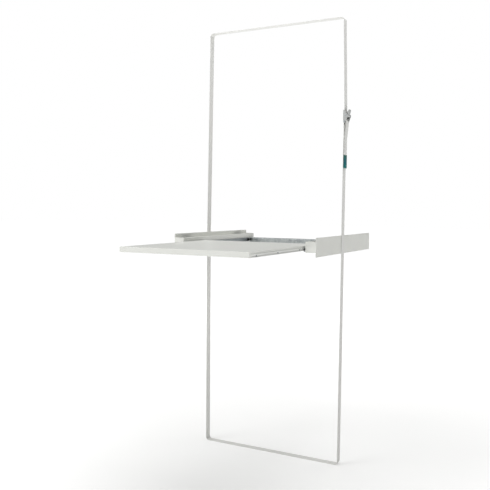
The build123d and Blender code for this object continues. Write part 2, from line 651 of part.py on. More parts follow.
def sewn_loop():
    """The strap's end turned over the anchor bar and sewn down on its own run."""
    merge_z = wrap_foot_z - SEWN_MERGE
    lie = STRAP_THICK + SEWN_GAP
    merge = on_lower_run(merge_z, lie)
    left_x, right_x = anchor_x - wrap_radius, anchor_x + wrap_radius
    wrap = Line((left_x, wrap_foot_z), (left_x, anchor_z)) + ThreePointArc(
        (left_x, anchor_z), (anchor_x, anchor_z + wrap_radius), (right_x, anchor_z))
    wrap = wrap + Line((right_x, anchor_z), (right_x, wrap_foot_z))
    turned = along_y(trace(wrap, line_width=STRAP_THICK), BUCKLE_Y - STRAP_WIDTH / 2,
                     BUCKLE_Y + STRAP_WIDTH / 2)
    laid = webbing([(right_x, BUCKLE_Y, wrap_foot_z), merge, on_lower_run(sewn_end_z, lie)])
    return turned + laid


tail_top_z = anchor_z + wrap_radius
tail_end_z = anchor_z - TAIL_LENGTH
tail_out_x = anchor_x + wrap_radius + STRAP_THICK + 2 * STRAP_GAP


def strap_tail():
    """The free end: under the cam, out over the sewn loop, then down along its own run."""
    turn_z, drop_z = pin_z - TAIL_TURN_DOWN, wrap_foot_z - TAIL_BEND
    line = FilletPolyline((through_x, pin_z), (through_x, turn_z), (tail_out_x, tail_top_z),
                          (tail_out_x, drop_z), radius=TAIL_TURN_RADIUS)
    turned = along_y(trace(line, line_width=STRAP_THICK), BUCKLE_Y - STRAP_WIDTH / 2,
                     BUCKLE_Y + STRAP_WIDTH / 2)
    laid = webbing([(tail_out_x, BUCKLE_Y, drop_z), on_lower_run(sewn_end_z, TAIL_LIE),
                    on_lower_run(tail_end_z, TAIL_LIE)])
    return turned + laid


def strap_label():
    """Plain sleeve folded round the end of the tail."""
    top = tail_end_z + LABEL_COVER
    outer = Rectangle(STRAP_THICK + 2 * LABEL_WALL, STRAP_WIDTH + 2 * LABEL_MARGIN)
    inner = Rectangle(STRAP_THICK + 2 * LABEL_PLAY, STRAP_WIDTH + 2 * LABEL_PLAY)
    sleeve_z, hollow_z = (top - LABEL_LENGTH, top), (tail_end_z - LABEL_PLAY, top + OVER)
    sleeve = loft([Pos(*on_lower_run(z, TAIL_LIE)) * outer for z in sleeve_z], ruled=True)
    return sleeve - loft([Pos(*on_lower_run(z, TAIL_LIE)) * inner for z in hollow_z], ruled=True)


# Cam buckle: outlines drawn as (x, z)
cheek_y = BUCKLE_WIDTH / 2 - CHEEK
cam_reach_x = through_x + STRAP_THICK / 2 + STRAP_GAP
cam_radii = [
    CAM_RADIUS - CAM_GROWTH_PER_DEGREE * CAM_TOOTH_ANGLE * step
    for step in range(-(CAM_TEETH // 2), CAM_TEETH // 2 + 1)
]
cam_angles = [180 - CAM_TOOTH_ANGLE * step for step in range(-(CAM_TEETH // 2), CAM_TEETH // 2 + 1)]
cam_tips = [(r * cos(radians(a)), r * sin(radians(a))) for r, a in zip(cam_radii, cam_angles)]
pin_x = cam_reach_x + max(-x for x, z in cam_tips)


def cheek_outline():
    """Side plate: straight back, high round the pin, low round the anchor bar."""
    base = buckle_back + BASE_PLATE
    pin_ring = Pos(pin_x, pin_z) * Circle(PIN_RADIUS + CHEEK_EDGE)
    anchor_ring = Pos(anchor_x, anchor_z) * Circle(ANCHOR_RADIUS + BASE_PLATE)
    back_edge = outline([(buckle_back, anchor_z), (base, anchor_z), (base, buckle_top_z),
                         (buckle_back, buckle_top_z)])
    return make_hull(pin_ring.edges() + anchor_ring.edges() + back_edge.edges())


def buckle_frame():
    """Die-cast body: two side plates joined by the base plate under the cam."""
    section = cheek_outline()
    cheeks = [
        along_y(section, BUCKLE_Y + side * cheek_y - (CHEEK if side < 0 else 0),
                BUCKLE_Y + side * cheek_y + (CHEEK if side > 0 else 0))
        for side in (-1, 1)
    ]
    plate = block((buckle_back, buckle_back + BASE_PLATE),
                  (BUCKLE_Y - cheek_y - BITE, BUCKLE_Y + cheek_y + BITE),
                  (buckle_top_z - BASE_PLATE_LENGTH, buckle_top_z))
    frame = plate + cheeks
    wide = (BUCKLE_Y - BUCKLE_WIDTH, BUCKLE_Y + BUCKLE_WIDTH)
    holes = [
        rod(ANCHOR_RADIUS + PIN_PLAY, (anchor_x, wide[0], anchor_z), (anchor_x, wide[1], anchor_z)),
        rod(PIN_RADIUS + PIN_PLAY, (pin_x, wide[0], pin_z), (pin_x, wide[1], pin_z)),
    ]
    return frame - holes


def headed_pin(radius, head_radius, x, z):
    """A riveted pin through both side plates, with a flat head at each end."""
    low, high = BUCKLE_Y - BUCKLE_WIDTH / 2, BUCKLE_Y + BUCKLE_WIDTH / 2
    pin = rod(radius, (x, low - BITE, z), (x, high + BITE, z))
    pin += small_rod(head_radius, (x, low - PIN_HEAD, z), (x, low, z))
    return pin + small_rod(head_radius, (x, high, z), (x, high + PIN_HEAD, z))


def cam_outline():
    """Toothed cam: its radius grows towards the side that the load pulls in."""
    points = []
    for radius, angle in zip(cam_radii, cam_angles):
        root = radius - CAM_TOOTH
        points.append((radius * cos(radians(angle)), radius * sin(radians(angle))))
        half_step = radians(angle - CAM_TOOTH_ANGLE / 2)
        points.append((root * cos(half_step), root * sin(half_step)))
    cam = outline([(0, 0)] + points) + Circle(CAM_RADIUS - 2 * CAM_TOOTH)
    return Pos(pin_x, pin_z) * cam


def cam_lever():
    """Die-cast cam with a thumb pad, turned about the pin between the side plates."""
    cam_y = (BUCKLE_Y - cheek_y + CAM_SIDE_GAP, BUCKLE_Y + cheek_y - SPRING_SPACE - CAM_SIDE_GAP)
    cam = along_y(cam_outline(), *cam_y)
    half = LEVER_THICK / 2
    hub = CAM_RADIUS / 2
    line = FilletPolyline((pin_x + hub, pin_z), (pin_x + hub, pin_z + hub),
                          (pin_x + LEVER_RISE, pin_z + LEVER_REACH), radius=LEVER_BEND)
    arm = trace(line, line_width=LEVER_THICK)
    middle_y = BUCKLE_Y - SPRING_SPACE / 2
    pad = along_y(arm, middle_y - LEVER_WIDTH / 2, middle_y + LEVER_WIDTH / 2)
    corners = [
        e for e in pad.edges()
        if e.length < LEVER_THICK + NEAR and e.center().Z > pin_z + LEVER_REACH - LEVER_THICK
    ]
    pad = fillet(corners, LEVER_END_ROUND)
    lever = cam + pad
    for share in grip_rib_shares:
        x = pin_x + hub + share * (LEVER_RISE - hub) + half
        z = pin_z + hub + share * (LEVER_REACH - hub)
        low, high = middle_y - LEVER_WIDTH / 3, middle_y + LEVER_WIDTH / 3
        lever += small_rod(GRIP_RIB, (x, low, z), (x, high, z))
    bore = rod(PIN_RADIUS + PIN_PLAY, (pin_x, cam_y[0] - OVER, pin_z), (pin_x, cam_y[1] + OVER, pin_z))
    return lever - bore


def cam_spring():
    """Torsion spring round the pin, beside the cam."""
    height = SPRING_PITCH * SPRING_TURNS
    start_y = BUCKLE_Y + cheek_y - (SPRING_SPACE + CAM_SIDE_GAP + height) / 2
    path = Helix(SPRING_PITCH, height, SPRING_RADIUS)
    wire = Plane(origin=path @ 0, z_dir=path % 0) * RegularPolygon(SPRING_WIRE / 2, SMALL_SIDES // 2)
    coil = sweep(wire, path=path, is_frenet=True)
    return Pos(pin_x, start_y, pin_z) * (Rot(-90, 0, 0) * coil)


os.makedirs("parts", exist_ok=True)

beam = side_beam()
save("right_side_beam", beam)
save("left_side_beam", mirrored(beam))
for place, facing in (("front", -1), ("rear", 1)):
    cap = end_cap(facing)
    save(f"right_{place}_cap", cap)
    save(f"left_{place}_cap", mirrored(cap))
right_pads = [foot_pad(y) for y in foot_pad_ys]
save("foot_pads", *right_pads, *[mirrored(pad) for pad in right_pads])
right_pads = [base_pad(y) for y in base_pad_ys]
save("base_pads", *right_pads, *[mirrored(pad) for pad in right_pads])
save("rear_crossbar", rear_crossbar())
save("middle_tie_bar", tie_bar())
save("rear_crossbar_screws", *[
    pan_screw((side * BAR_SCREW_X, y, CROSSBAR_HEIGHT - CROSSBAR_SHEET), (0, 0, 1), CROSSBAR_SCREW_LENGTH)
    for side in (-1, 1) for y in crossbar_screw_ys
])
save("tie_bar_screws", *[
    flat_screw((side * BAR_SCREW_X, y, 0), (0, 0, 1), TIE_SCREW_LENGTH)
    for side in (-1, 1) for y in tie_bar_screw_ys
])

pulled_out = Pos(0, -TRAVEL, 0)
cage_out = Pos(0, cage_middle_out, 0)
right_slide = {
    "slide_outer_member": [outer_member()],
    "slide_inner_member": [pulled_out * inner_member()],
    "ball_cage": [cage_out * ball_cage()],
    "bearing_balls": [cage_out * ball for ball in bearing_balls()],
    "slide_rear_bumper": [rear_bumper()],
    "slide_outer_screws": outer_screws(),
    "slide_inner_screws": [pulled_out * screw for screw in inner_screws()],
}
for name, solids in right_slide.items():
    save(f"right_{name}", *solids)
    save(f"left_{name}", *[mirrored(solid) for solid in solids])

save("shelf_tray", pulled_out * shelf_tray())
save("shelf_front_trim", pulled_out * shelf_front_trim())
save("shelf_trim_screws", *[pulled_out * screw for screw in trim_screws()])
tray_length = TRAY_BACK - TRAY_FRONT
save("shelf_stiffeners", *[
    pulled_out * shelf_stiffener(TRAY_FRONT + share * tray_length) for share in stiffener_place_shares
])

save("strap_upper_run", webbing(upper_stations))
save("strap_lower_run", webbing(lower_stations))
save("strap_left_run", webbing(left_stations))
save("strap_top_run", across_run(above_x, corner_top_z, 1, STRAP_TOP_Y))
save("strap_bottom_run", across_run(below_x, corner_low_z, -1, STRAP_BOTTOM_Y))
save("strap_sewn_loop", sewn_loop())
save("strap_tail", strap_tail())
save("strap_label", strap_label())
save("buckle_frame", buckle_frame())
save("buckle_anchor_bar", headed_pin(ANCHOR_RADIUS, ANCHOR_RADIUS + BASE_PLATE / 2, anchor_x, anchor_z))
save("cam_pin", headed_pin(PIN_RADIUS, PIN_HEAD_RADIUS, pin_x, pin_z))
save("cam_lever", cam_lever())
save("cam_spring", cam_spring())
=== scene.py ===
import json
from math import acos, ceil, cos, pi, radians, sin, tan

import bmesh
import bpy
from mathutils import Matrix, Vector

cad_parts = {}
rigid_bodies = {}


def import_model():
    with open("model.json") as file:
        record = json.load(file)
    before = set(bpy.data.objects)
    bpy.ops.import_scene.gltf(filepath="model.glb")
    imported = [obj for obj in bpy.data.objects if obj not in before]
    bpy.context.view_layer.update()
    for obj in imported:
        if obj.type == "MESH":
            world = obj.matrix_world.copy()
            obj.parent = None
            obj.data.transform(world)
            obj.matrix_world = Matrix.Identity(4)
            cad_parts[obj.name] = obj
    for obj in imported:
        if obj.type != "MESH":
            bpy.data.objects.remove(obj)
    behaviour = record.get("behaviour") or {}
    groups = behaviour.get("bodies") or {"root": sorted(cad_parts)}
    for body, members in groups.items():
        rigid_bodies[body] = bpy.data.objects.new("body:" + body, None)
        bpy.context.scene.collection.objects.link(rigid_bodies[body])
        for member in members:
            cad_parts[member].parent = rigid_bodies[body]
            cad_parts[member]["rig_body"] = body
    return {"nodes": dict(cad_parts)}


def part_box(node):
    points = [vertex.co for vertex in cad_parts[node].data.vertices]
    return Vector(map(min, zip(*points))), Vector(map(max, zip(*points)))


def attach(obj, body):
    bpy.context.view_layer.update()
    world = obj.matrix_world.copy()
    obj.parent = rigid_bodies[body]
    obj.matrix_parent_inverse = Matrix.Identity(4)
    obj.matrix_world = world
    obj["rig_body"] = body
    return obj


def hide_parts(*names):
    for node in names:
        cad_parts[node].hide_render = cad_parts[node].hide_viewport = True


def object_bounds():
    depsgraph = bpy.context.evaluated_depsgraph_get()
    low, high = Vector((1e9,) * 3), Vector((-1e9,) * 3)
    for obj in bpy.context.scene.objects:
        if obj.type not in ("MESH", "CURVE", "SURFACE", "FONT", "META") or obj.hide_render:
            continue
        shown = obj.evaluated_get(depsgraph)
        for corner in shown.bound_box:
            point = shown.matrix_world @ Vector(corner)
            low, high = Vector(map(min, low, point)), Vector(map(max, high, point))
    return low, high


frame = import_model()
cad_low, cad_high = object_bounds()


# The picture: a 50 mm lens stands 2.8 m off, a little above the shelf, and looks at the front
# and the right-hand side. Lens and sensor are in millimetres, angles in degrees.
LENS, SENSOR = 50.28, 36.0
CAMERA_PLACE = (1.2233, -2.5592, 0.1657)
CAMERA_AZIMUTH, CAMERA_PITCH, CAMERA_ROLL = 28.249, 2.230, 0.433
CAMERA_SHIFT = (0.0025, -0.0250)

scene = bpy.context.scene
scene.view_settings.view_transform = "Standard"
camera = bpy.data.objects.new("camera", bpy.data.cameras.new("camera"))
camera.data.lens, camera.data.sensor_width = LENS, SENSOR
camera.data.shift_x, camera.data.shift_y = CAMERA_SHIFT
camera.matrix_world = (
    Matrix.Translation(CAMERA_PLACE)
    @ Matrix.Rotation(radians(CAMERA_AZIMUTH), 4, "Z")
    @ Matrix.Rotation(radians(90 - CAMERA_PITCH), 4, "X")
    @ Matrix.Rotation(radians(CAMERA_ROLL), 4, "Z")
)
scene.collection.objects.link(camera)
scene.camera = camera


# The floor and the light: a white matt floor runs out into an even white studio. Two large
# soft lamps hang at the front left and above, and a weak one behind. Lengths are in metres.
FLOOR_SIZE = 60.0
FLOOR_NEAR, FLOOR_FAR = 0.8, 4.0
GLOW_NEAR, GLOW_FAR = 0.18, 0.85
FLOOR_CLOUD = 2 / 3
STUDIO_LIGHT = 0.22
# Each lamp's place, its width, and its power in watts.
soft_lamps = {
    "key": ((-2.6, -3.4, 2.2), 2.4, 80.0),
    "top": ((0.0, 0.2, 3.2), 3.4, 96.0),
    "rear": ((1.8, 3.2, 1.6), 2.4, 12.0),
}


def linear(hex_colour):
    """An sRGB hex colour as the linear red, green, blue and alpha that the shaders take."""
    parts = [int(hex_colour[place:place + 2], 16) / 255 for place in (1, 3, 5)]
    levels = [part / 12.92 if part <= 0.04045 else ((part + 0.055) / 1.055) ** 2.4
              for part in parts]
    return (*levels, 1.0)


def add(tree, kind, inputs=None, **settings):
    """Adds a node. Each input is a value, a node's output, or a node, meaning its first one."""
    node = tree.nodes.new(kind)
    for name, value in settings.items():
        setattr(node, name, value)
    for key, value in (inputs or {}).items():
        source = value.outputs[0] if isinstance(value, bpy.types.Node) else value
        if isinstance(source, bpy.types.NodeSocket):
            tree.links.new(source, node.inputs[key])
        else:
            node.inputs[key].default_value = source
    return node


def new_material(name):
    """An empty material, its tree, and the place on the piece that its patterns read."""
    material = bpy.data.materials.new(name)
    material.use_nodes = True
    tree = material.node_tree
    tree.nodes.clear()
    return material, tree, add(tree, "ShaderNodeTexCoord").outputs["Object"]


def floor_material():
    """White matt paint on a lit floor: it glows more the further off it is, and hides its edge."""
    material, tree, place = new_material("rolled_matt_floor_paint")
    cloud = add(tree, "ShaderNodeTexNoise", {"Vector": place, "Scale": 1 / FLOOR_CLOUD})
    colour = add(tree, "ShaderNodeMix", {
        0: cloud, 6: linear("#f4f4f3"), 7: linear("#f0f0ef"),
    }, data_type="RGBA")
    away = add(tree, "ShaderNodeVectorMath", {0: place}, operation="LENGTH")
    glow = add(tree, "ShaderNodeMapRange", {
        "Value": away.outputs["Value"], "From Min": FLOOR_NEAR, "From Max": FLOOR_FAR,
        "To Min": GLOW_NEAR, "To Max": GLOW_FAR,
    })
    shader = add(tree, "ShaderNodeBsdfPrincipled", {
        "Base Color": colour.outputs[2], "Roughness": 0.9, "Specular IOR Level": 0.1,
        "Emission Color": linear("#ffffff"), "Emission Strength": glow,
    })
    add(tree, "ShaderNodeOutputMaterial", {"Surface": shader})
    return material


half_floor = FLOOR_SIZE / 2
floor_mesh = bpy.data.meshes.new("floor")
floor_mesh.from_pydata(
    [(x * half_floor, y * half_floor, cad_low.z) for x, y in ((-1, -1), (1, -1), (1, 1), (-1, 1))],
    [], [(0, 1, 2, 3)])
floor_mesh.materials.append(floor_material())
floor = bpy.data.objects.new("floor", floor_mesh)
scene.collection.objects.link(floor)

for name, (place, size, power) in soft_lamps.items():
    lamp = bpy.data.lights.new(name, "AREA")
    lamp.size, lamp.energy = size, power
    stand = bpy.data.objects.new(name, lamp)
    aim = Vector(place).to_track_quat("Z", "Y").to_matrix().to_4x4()
    stand.matrix_world = Matrix.Translation(place) @ aim
    scene.collection.objects.link(stand)

studio = bpy.data.worlds.new("white_studio")
studio.use_nodes = True
walls = studio.node_tree
walls.nodes.clear()
seen = add(walls, "ShaderNodeLightPath").outputs["Is Camera Ray"]
strength = add(walls, "ShaderNodeMapRange", {
    "Value": seen, "To Min": STUDIO_LIGHT, "To Max": 1.0,
})
backdrop = add(walls, "ShaderNodeBackground", {"Strength": strength, "Color": linear("#ffffff")})
add(walls, "ShaderNodeOutputWorld", {"Surface": backdrop})
scene.world = studio


# The side beams: each is one long injection-moulded ABS piece, a channel above and ribs below,
# with an upright lip outside. The mould's edges are eased and its skin is spark-eroded.
MM = 0.001
# The joining of a node's loose triangles, the edges that are eased, and the smooth shading:
# lengths in millimetres and angles in degrees.
WELD = 0.01
FLAT_ANGLE = 1
EASE_ANGLE, SHORTEST_EDGE, EASE_SEGMENTS = 25, 0.2, 2
SMOOTH_ANGLE = 40
# The real grain is about 0.15 mm wide, too fine to show, so it is drawn 0.9 mm wide. The
# colour changes very slightly where the plastic flowed.
SPARK_GRAIN, SPARK_DEPTH = 0.9, 0.02
FLOW_CLOUD = 60.0
ABS_GLOSS_SPREAD = 0.06


def moulded_abs(name, light, dark, roughness):
    """White ABS: the spark-eroded mould gives a fine grain that spreads each highlight."""
    material, tree, place = new_material(name)
    grain = add(tree, "ShaderNodeTexNoise", {
        "Vector": place, "Scale": 1 / (SPARK_GRAIN * MM), "Detail": 3.0,
    })
    cloud = add(tree, "ShaderNodeTexNoise", {
        "Vector": place, "Scale": 1 / (FLOW_CLOUD * MM), "Detail": 2.0,
    })
    colour = add(tree, "ShaderNodeMix", {
        0: cloud, 6: linear(light), 7: linear(dark),
    }, data_type="RGBA")
    gloss = add(tree, "ShaderNodeMapRange", {
        "Value": grain, "To Min": roughness - ABS_GLOSS_SPREAD,
        "To Max": roughness + ABS_GLOSS_SPREAD,
    })
    bump = add(tree, "ShaderNodeBump", {"Height": grain, "Distance": SPARK_DEPTH * MM})
    shader = add(tree, "ShaderNodeBsdfPrincipled", {
        "Base Color": colour.outputs[2], "Roughness": gloss, "IOR": 1.53, "Normal": bump,
    })
    add(tree, "ShaderNodeOutputMaterial", {"Surface": shader})
    return material


def linked(name, mesh):
    """A new object of the scene, at the origin."""
    piece = bpy.data.objects.new(name, mesh)
    scene.collection.objects.link(piece)
    return piece


def settle(piece):
    """Turns a piece's modifiers into its plain mesh."""
    depsgraph = bpy.context.evaluated_depsgraph_get()
    mesh = bpy.data.meshes.new_from_object(
        piece.evaluated_get(depsgraph), preserve_all_data_layers=True, depsgraph=depsgraph)
    piece.modifiers.clear()
    piece.data = mesh
    mesh.name = piece.name


def smooth(piece, angle=SMOOTH_ANGLE):
    """Shades a piece smoothly, except over edges sharper than an angle."""
    piece.data.shade_smooth()
    piece.data.set_sharp_from_angle(angle=radians(angle))


def dress(piece, material, slot, body, *nodes):
    """Gives a piece its material and body, and lets it stand for the nodes it replaces. The slot
    is not used.
    """
    piece.data.materials.clear()
    piece.data.materials.append(material)
    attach(piece, body)
    if nodes:
        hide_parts(*nodes)
    return piece


def joined(node):
    """A node of the frame with its loose triangles joined."""
    work = bmesh.new()
    work.from_mesh(frame["nodes"][node].data)
    bmesh.ops.remove_doubles(work, verts=work.verts, dist=WELD * MM)
    return work


def eased_copy(node, material, slot, ease=0.0, clamped=False):
    """A finer copy of a node: its sharp edges are rounded by ease, as a mould or press does."""
    work = joined(node)
    bmesh.ops.dissolve_limit(
        work, angle_limit=radians(FLAT_ANGLE), verts=work.verts, edges=work.edges)
    bmesh.ops.connect_verts_concave(work, faces=work.faces)
    weight = work.edges.layers.float.new("bevel_weight_edge")
    for edge in work.edges:
        long_enough = edge.calc_length() > SHORTEST_EDGE * MM
        if (len(edge.link_faces) == 2 and long_enough
                and edge.calc_face_angle() > radians(EASE_ANGLE)):
            edge[weight] = 1.0
    piece = linked(node + "_finished", bpy.data.meshes.new(node))
    work.to_mesh(piece.data)
    work.free()
    if ease:
        bevel = piece.modifiers.new("eased", "BEVEL")
        bevel.width, bevel.segments, bevel.limit_method = ease * MM, EASE_SEGMENTS, "WEIGHT"
        bevel.use_clamp_overlap = clamped
        settle(piece)
        smooth(piece, EASE_ANGLE + SMOOTH_ANGLE)
        piece.modifiers.new("flat faces", "WEIGHTED_NORMAL").keep_sharp = True
        settle(piece)
    else:
        smooth(piece)
    return dress(piece, material, slot, frame["nodes"][node]["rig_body"], node)


beam_abs = moulded_abs("spark_textured_white_abs", "#e4e5e0", "#dfe0da", 0.48)
for side in ("left", "right"):
    eased_copy(side + "_side_beam", beam_abs, "white_abs", ease=0.4, clamped=True)

# The end caps: small ABS plates that close the beams' ends, the front pair being the two white
# posts beside the shelf. Each is pushed in and held by its two tabs; its face is polished.
cap_abs = moulded_abs("polished_white_abs", "#e8e9e4", "#e4e5df", 0.34)
for side in ("left", "right"):
    for end in ("front", "rear"):
        eased_copy(f"{side}_{end}_cap", cap_abs, "white_abs", ease=0.3)


# The pads: grey rubber, cut from moulded sheet and glued in, grooved in the beams' channels,
# where the load stands on them, and plain under the beams.
# The real grain is about 0.2 mm wide, too fine to show, so it is drawn 0.6 mm wide.
RUBBER_GRAIN, RUBBER_DEPTH = 0.6, 0.05
RUBBER_BLOOM = 7.2


def moulded_rubber():
    """Dull grey EPDM with a fine grain and a bloom of paler dust."""
    material, tree, place = new_material("grey_epdm_rubber")
    grain = add(tree, "ShaderNodeTexNoise", {
        "Vector": place, "Scale": 1 / (RUBBER_GRAIN * MM), "Detail": 4.0,
    })
    bloom = add(tree, "ShaderNodeTexNoise", {"Vector": place, "Scale": 1 / (RUBBER_BLOOM * MM)})
    colour = add(tree, "ShaderNodeMix", {
        0: bloom, 6: linear("#4d4f50"), 7: linear("#626464"),
    }, data_type="RGBA")
    bump = add(tree, "ShaderNodeBump", {"Height": grain, "Distance": RUBBER_DEPTH * MM})
    shader = add(tree, "ShaderNodeBsdfPrincipled", {
        "Base Color": colour.outputs[2], "Roughness": 0.82, "IOR": 1.5, "Normal": bump,
    })
    add(tree, "ShaderNodeOutputMaterial", {"Surface": shader})
    return material


rubber = moulded_rubber()
for node in ("foot_pads", "base_pads"):
    eased_copy(node, rubber, "grey_rubber", ease=0.3)


# The rear crossbar and the middle tie bar: hot-dip galvanised steel, the one folded to a
# channel and the other a flat bar, both screwed up into the beams.
SPANGLE = 9.0


def galvanised_steel():
    """Zinc that froze in flat crystals: each spangle has its own brightness and gloss."""
    material, tree, place = new_material("hot_dip_galvanised_steel")
    crystal = add(tree, "ShaderNodeTexVoronoi", {"Vector": place, "Scale": 1 / (SPANGLE * MM)})
    bright = add(tree, "ShaderNodeRGBToBW", {"Color": crystal.outputs["Color"]})
    colour = add(tree, "ShaderNodeMix", {
        0: bright, 6: linear("#8e9394"), 7: linear("#b3b7b6"),
    }, data_type="RGBA")
    gloss = add(tree, "ShaderNodeMapRange", {"Value": bright, "To Min": 0.34, "To Max": 0.56})
    shader = add(tree, "ShaderNodeBsdfPrincipled", {
        "Base Color": colour.outputs[2], "Metallic": 0.9, "Roughness": gloss,
    })
    add(tree, "ShaderNodeOutputMaterial", {"Surface": shader})
    return material


galvanised = galvanised_steel()
for node in ("rear_crossbar", "middle_tie_bar"):
    eased_copy(node, galvanised, "galvanised_steel", ease=0.2)


# The screws: zinc-plated steel, cold-headed with a cross recess and a rolled thread. Pan heads
# stand on the crossbar, the nose's flange and the inner slide members; flat heads lie flush in
# the tie bar and the outer members. All sizes are in millimetres.
SCREW_RADIUS = 1.7
# Each head's profile, from its middle outwards: the height at each radius.
PAN_HEAD = {0.0: 1.8, 1.3: 1.74, 2.1: 1.5, 2.6: 1.1, 2.9: 0.5, 2.85: 0.0}
FLAT_HEAD = {0.0: 0.0, 2.8: 0.0, 3.1: -0.1, 1.7: -1.0}
THREAD_PITCH, THREAD_ROOT_SHARE = 0.8, 0.84
POINT_LENGTH = 0.8
RECESS_WIDE, RECESS_NARROW, RECESS_DEPTH = 2.3, 0.5, 0.9
PUNCH_CLEARANCE = 1.0
TURNED_SEGMENTS = 24
PLATING_CLOUD, PLATE_GLOSS_SPREAD = 3.0, 0.07


def plated_steel(name, light, dark, roughness):
    """Bright zinc plate: a cool metal with the faint cloudiness of the plating bath."""
    material, tree, place = new_material(name)
    cloud = add(tree, "ShaderNodeTexNoise", {
        "Vector": place, "Scale": 1 / (PLATING_CLOUD * MM), "Detail": 3.0,
    })
    colour = add(tree, "ShaderNodeMix", {
        0: cloud, 6: linear(light), 7: linear(dark),
    }, data_type="RGBA")
    gloss = add(tree, "ShaderNodeMapRange", {
        "Value": cloud, "To Min": roughness - PLATE_GLOSS_SPREAD,
        "To Max": roughness + PLATE_GLOSS_SPREAD,
    })
    shader = add(tree, "ShaderNodeBsdfPrincipled", {
        "Base Color": colour.outputs[2], "Metallic": 1.0, "Roughness": gloss,
    })
    add(tree, "ShaderNodeOutputMaterial", {"Surface": shader})
    return material


def turned(name, rings, segments=TURNED_SEGMENTS):
    """A piece turned about Z, from its radius and height at each ring, in millimetres."""
    work = bmesh.new()
    loops = []
    for radius, height in rings:
        angles = [2 * pi * step / segments for step in range(segments if radius else 1)]
        loops.append([work.verts.new((radius * MM * cos(a), radius * MM * sin(a), height * MM))
                      for a in angles])
    for low, high in zip(loops, loops[1:]):
        for step in range(segments):
            after = (step + 1) % segments
            corners = [low[step % len(low)], low[after % len(low)],
                       high[after % len(high)], high[step % len(high)]]
            work.faces.new(list(dict.fromkeys(corners)))
    bmesh.ops.recalc_face_normals(work, faces=work.faces)
    mesh = bpy.data.meshes.new(name)
    work.to_mesh(mesh)
    work.free()
    return linked(name, mesh)


def cut_out(piece, boxes):
    """Cuts boxes, each given by its low and high corner in millimetres, out of a piece."""
    for low, high in boxes:
        work = bmesh.new()
        bmesh.ops.create_cube(work, size=1.0)
        for vert in work.verts:
            vert.co = [MM * (high[axis] if vert.co[axis] > 0 else low[axis]) for axis in range(3)]
        tool = linked("tool", bpy.data.meshes.new("tool"))
        work.to_mesh(tool.data)
        work.free()
        cut = piece.modifiers.new("cut", "BOOLEAN")
        cut.object, cut.operation, cut.solver = tool, "DIFFERENCE", "EXACT"
        settle(piece)
        bpy.data.objects.remove(tool)


def screw(head, length):
    """One screw that points down: its head, a rolled thread, a point, and a cross recess."""
    rings = list(head.items())
    top, start = rings[0][1], min(rings[-1][1], 0.0)
    rings.append((SCREW_RADIUS, start))
    root_radius, half_pitch = SCREW_RADIUS * THREAD_ROOT_SHARE, THREAD_PITCH / 2
    count = int((length + start - POINT_LENGTH) / half_pitch)
    for step in range(1, count + 1):
        rings.append((root_radius if step % 2 else SCREW_RADIUS, start - step * half_pitch))
    rings += [(root_radius, -length + POINT_LENGTH / 2), (SCREW_RADIUS / 2, -length),
              (0.0, -length)]
    piece = turned("screw", rings)
    sizes = ((RECESS_WIDE, RECESS_NARROW), (RECESS_NARROW, RECESS_WIDE))
    cut_out(piece, [((-wide / 2, -deep / 2, top - RECESS_DEPTH),
                     (wide / 2, deep / 2, top + PUNCH_CLEARANCE)) for wide, deep in sizes])
    return piece


def copies_tree():
    """Copies of one piece, each facing its place's own way and turned about it by chance."""
    tree = bpy.data.node_groups.new("Copies", "GeometryNodeTree")
    for kind, label in (("Geometry", "Places"), ("Object", "Piece"), ("Float", "Most turn"),
                        ("Int", "Seed"), ("Material", "Finish")):
        tree.interface.new_socket(label, in_out="INPUT", socket_type="NodeSocket" + kind)
    tree.interface.new_socket("Copies", in_out="OUTPUT", socket_type="NodeSocketGeometry")
    given = add(tree, "NodeGroupInput").outputs
    facing = add(tree, "GeometryNodeInputNamedAttribute", {"Name": "facing"},
                 data_type="FLOAT_VECTOR")
    aligned = add(tree, "FunctionNodeAlignRotationToVector", {"Vector": facing}, axis="Z")
    turn = add(tree, "FunctionNodeRandomValue", {
        "Max": given["Most turn"], "Seed": given["Seed"],
    }, data_type="FLOAT")
    spin = add(tree, "FunctionNodeAxisAngleToRotation", {"Angle": turn.outputs[1]})
    rotation = add(tree, "FunctionNodeRotateRotation", {
        "Rotation": aligned, "Rotate By": spin,
    }, rotation_space="LOCAL")
    piece = add(tree, "GeometryNodeObjectInfo", {"Object": given["Piece"], "As Instance": True})
    placed = add(tree, "GeometryNodeInstanceOnPoints", {
        "Points": given["Places"], "Instance": piece.outputs["Geometry"], "Rotation": rotation,
    })
    real = add(tree, "GeometryNodeRealizeInstances", {"Geometry": placed})
    finished = add(tree, "GeometryNodeSetMaterial", {
        "Geometry": real, "Material": given["Finish"],
    })
    add(tree, "NodeGroupOutput", {"Copies": finished})
    return tree


def copied(name, piece, places, material, most_turn=0.0, seed=0):
    """Copies of a piece as one plain mesh, at places given as (place, the way it faces)."""
    mesh = bpy.data.meshes.new(name)
    mesh.from_pydata([place for place, _ in places], [], [])
    facing = mesh.attributes.new("facing", "FLOAT_VECTOR", "POINT")
    for item, (_, way) in zip(facing.data, places):
        item.vector = way
    group = linked(name, mesh)
    made = group.modifiers.new("copies", "NODES")
    made.node_group = copies
    values = {"Piece": piece, "Most turn": most_turn, "Seed": seed, "Finish": material}
    for item in copies.interface.items_tree:
        if item.in_out == "INPUT" and item.name in values:
            made[item.identifier] = values[item.name]
    settle(group)
    bpy.data.objects.remove(piece)
    smooth(group)
    return group


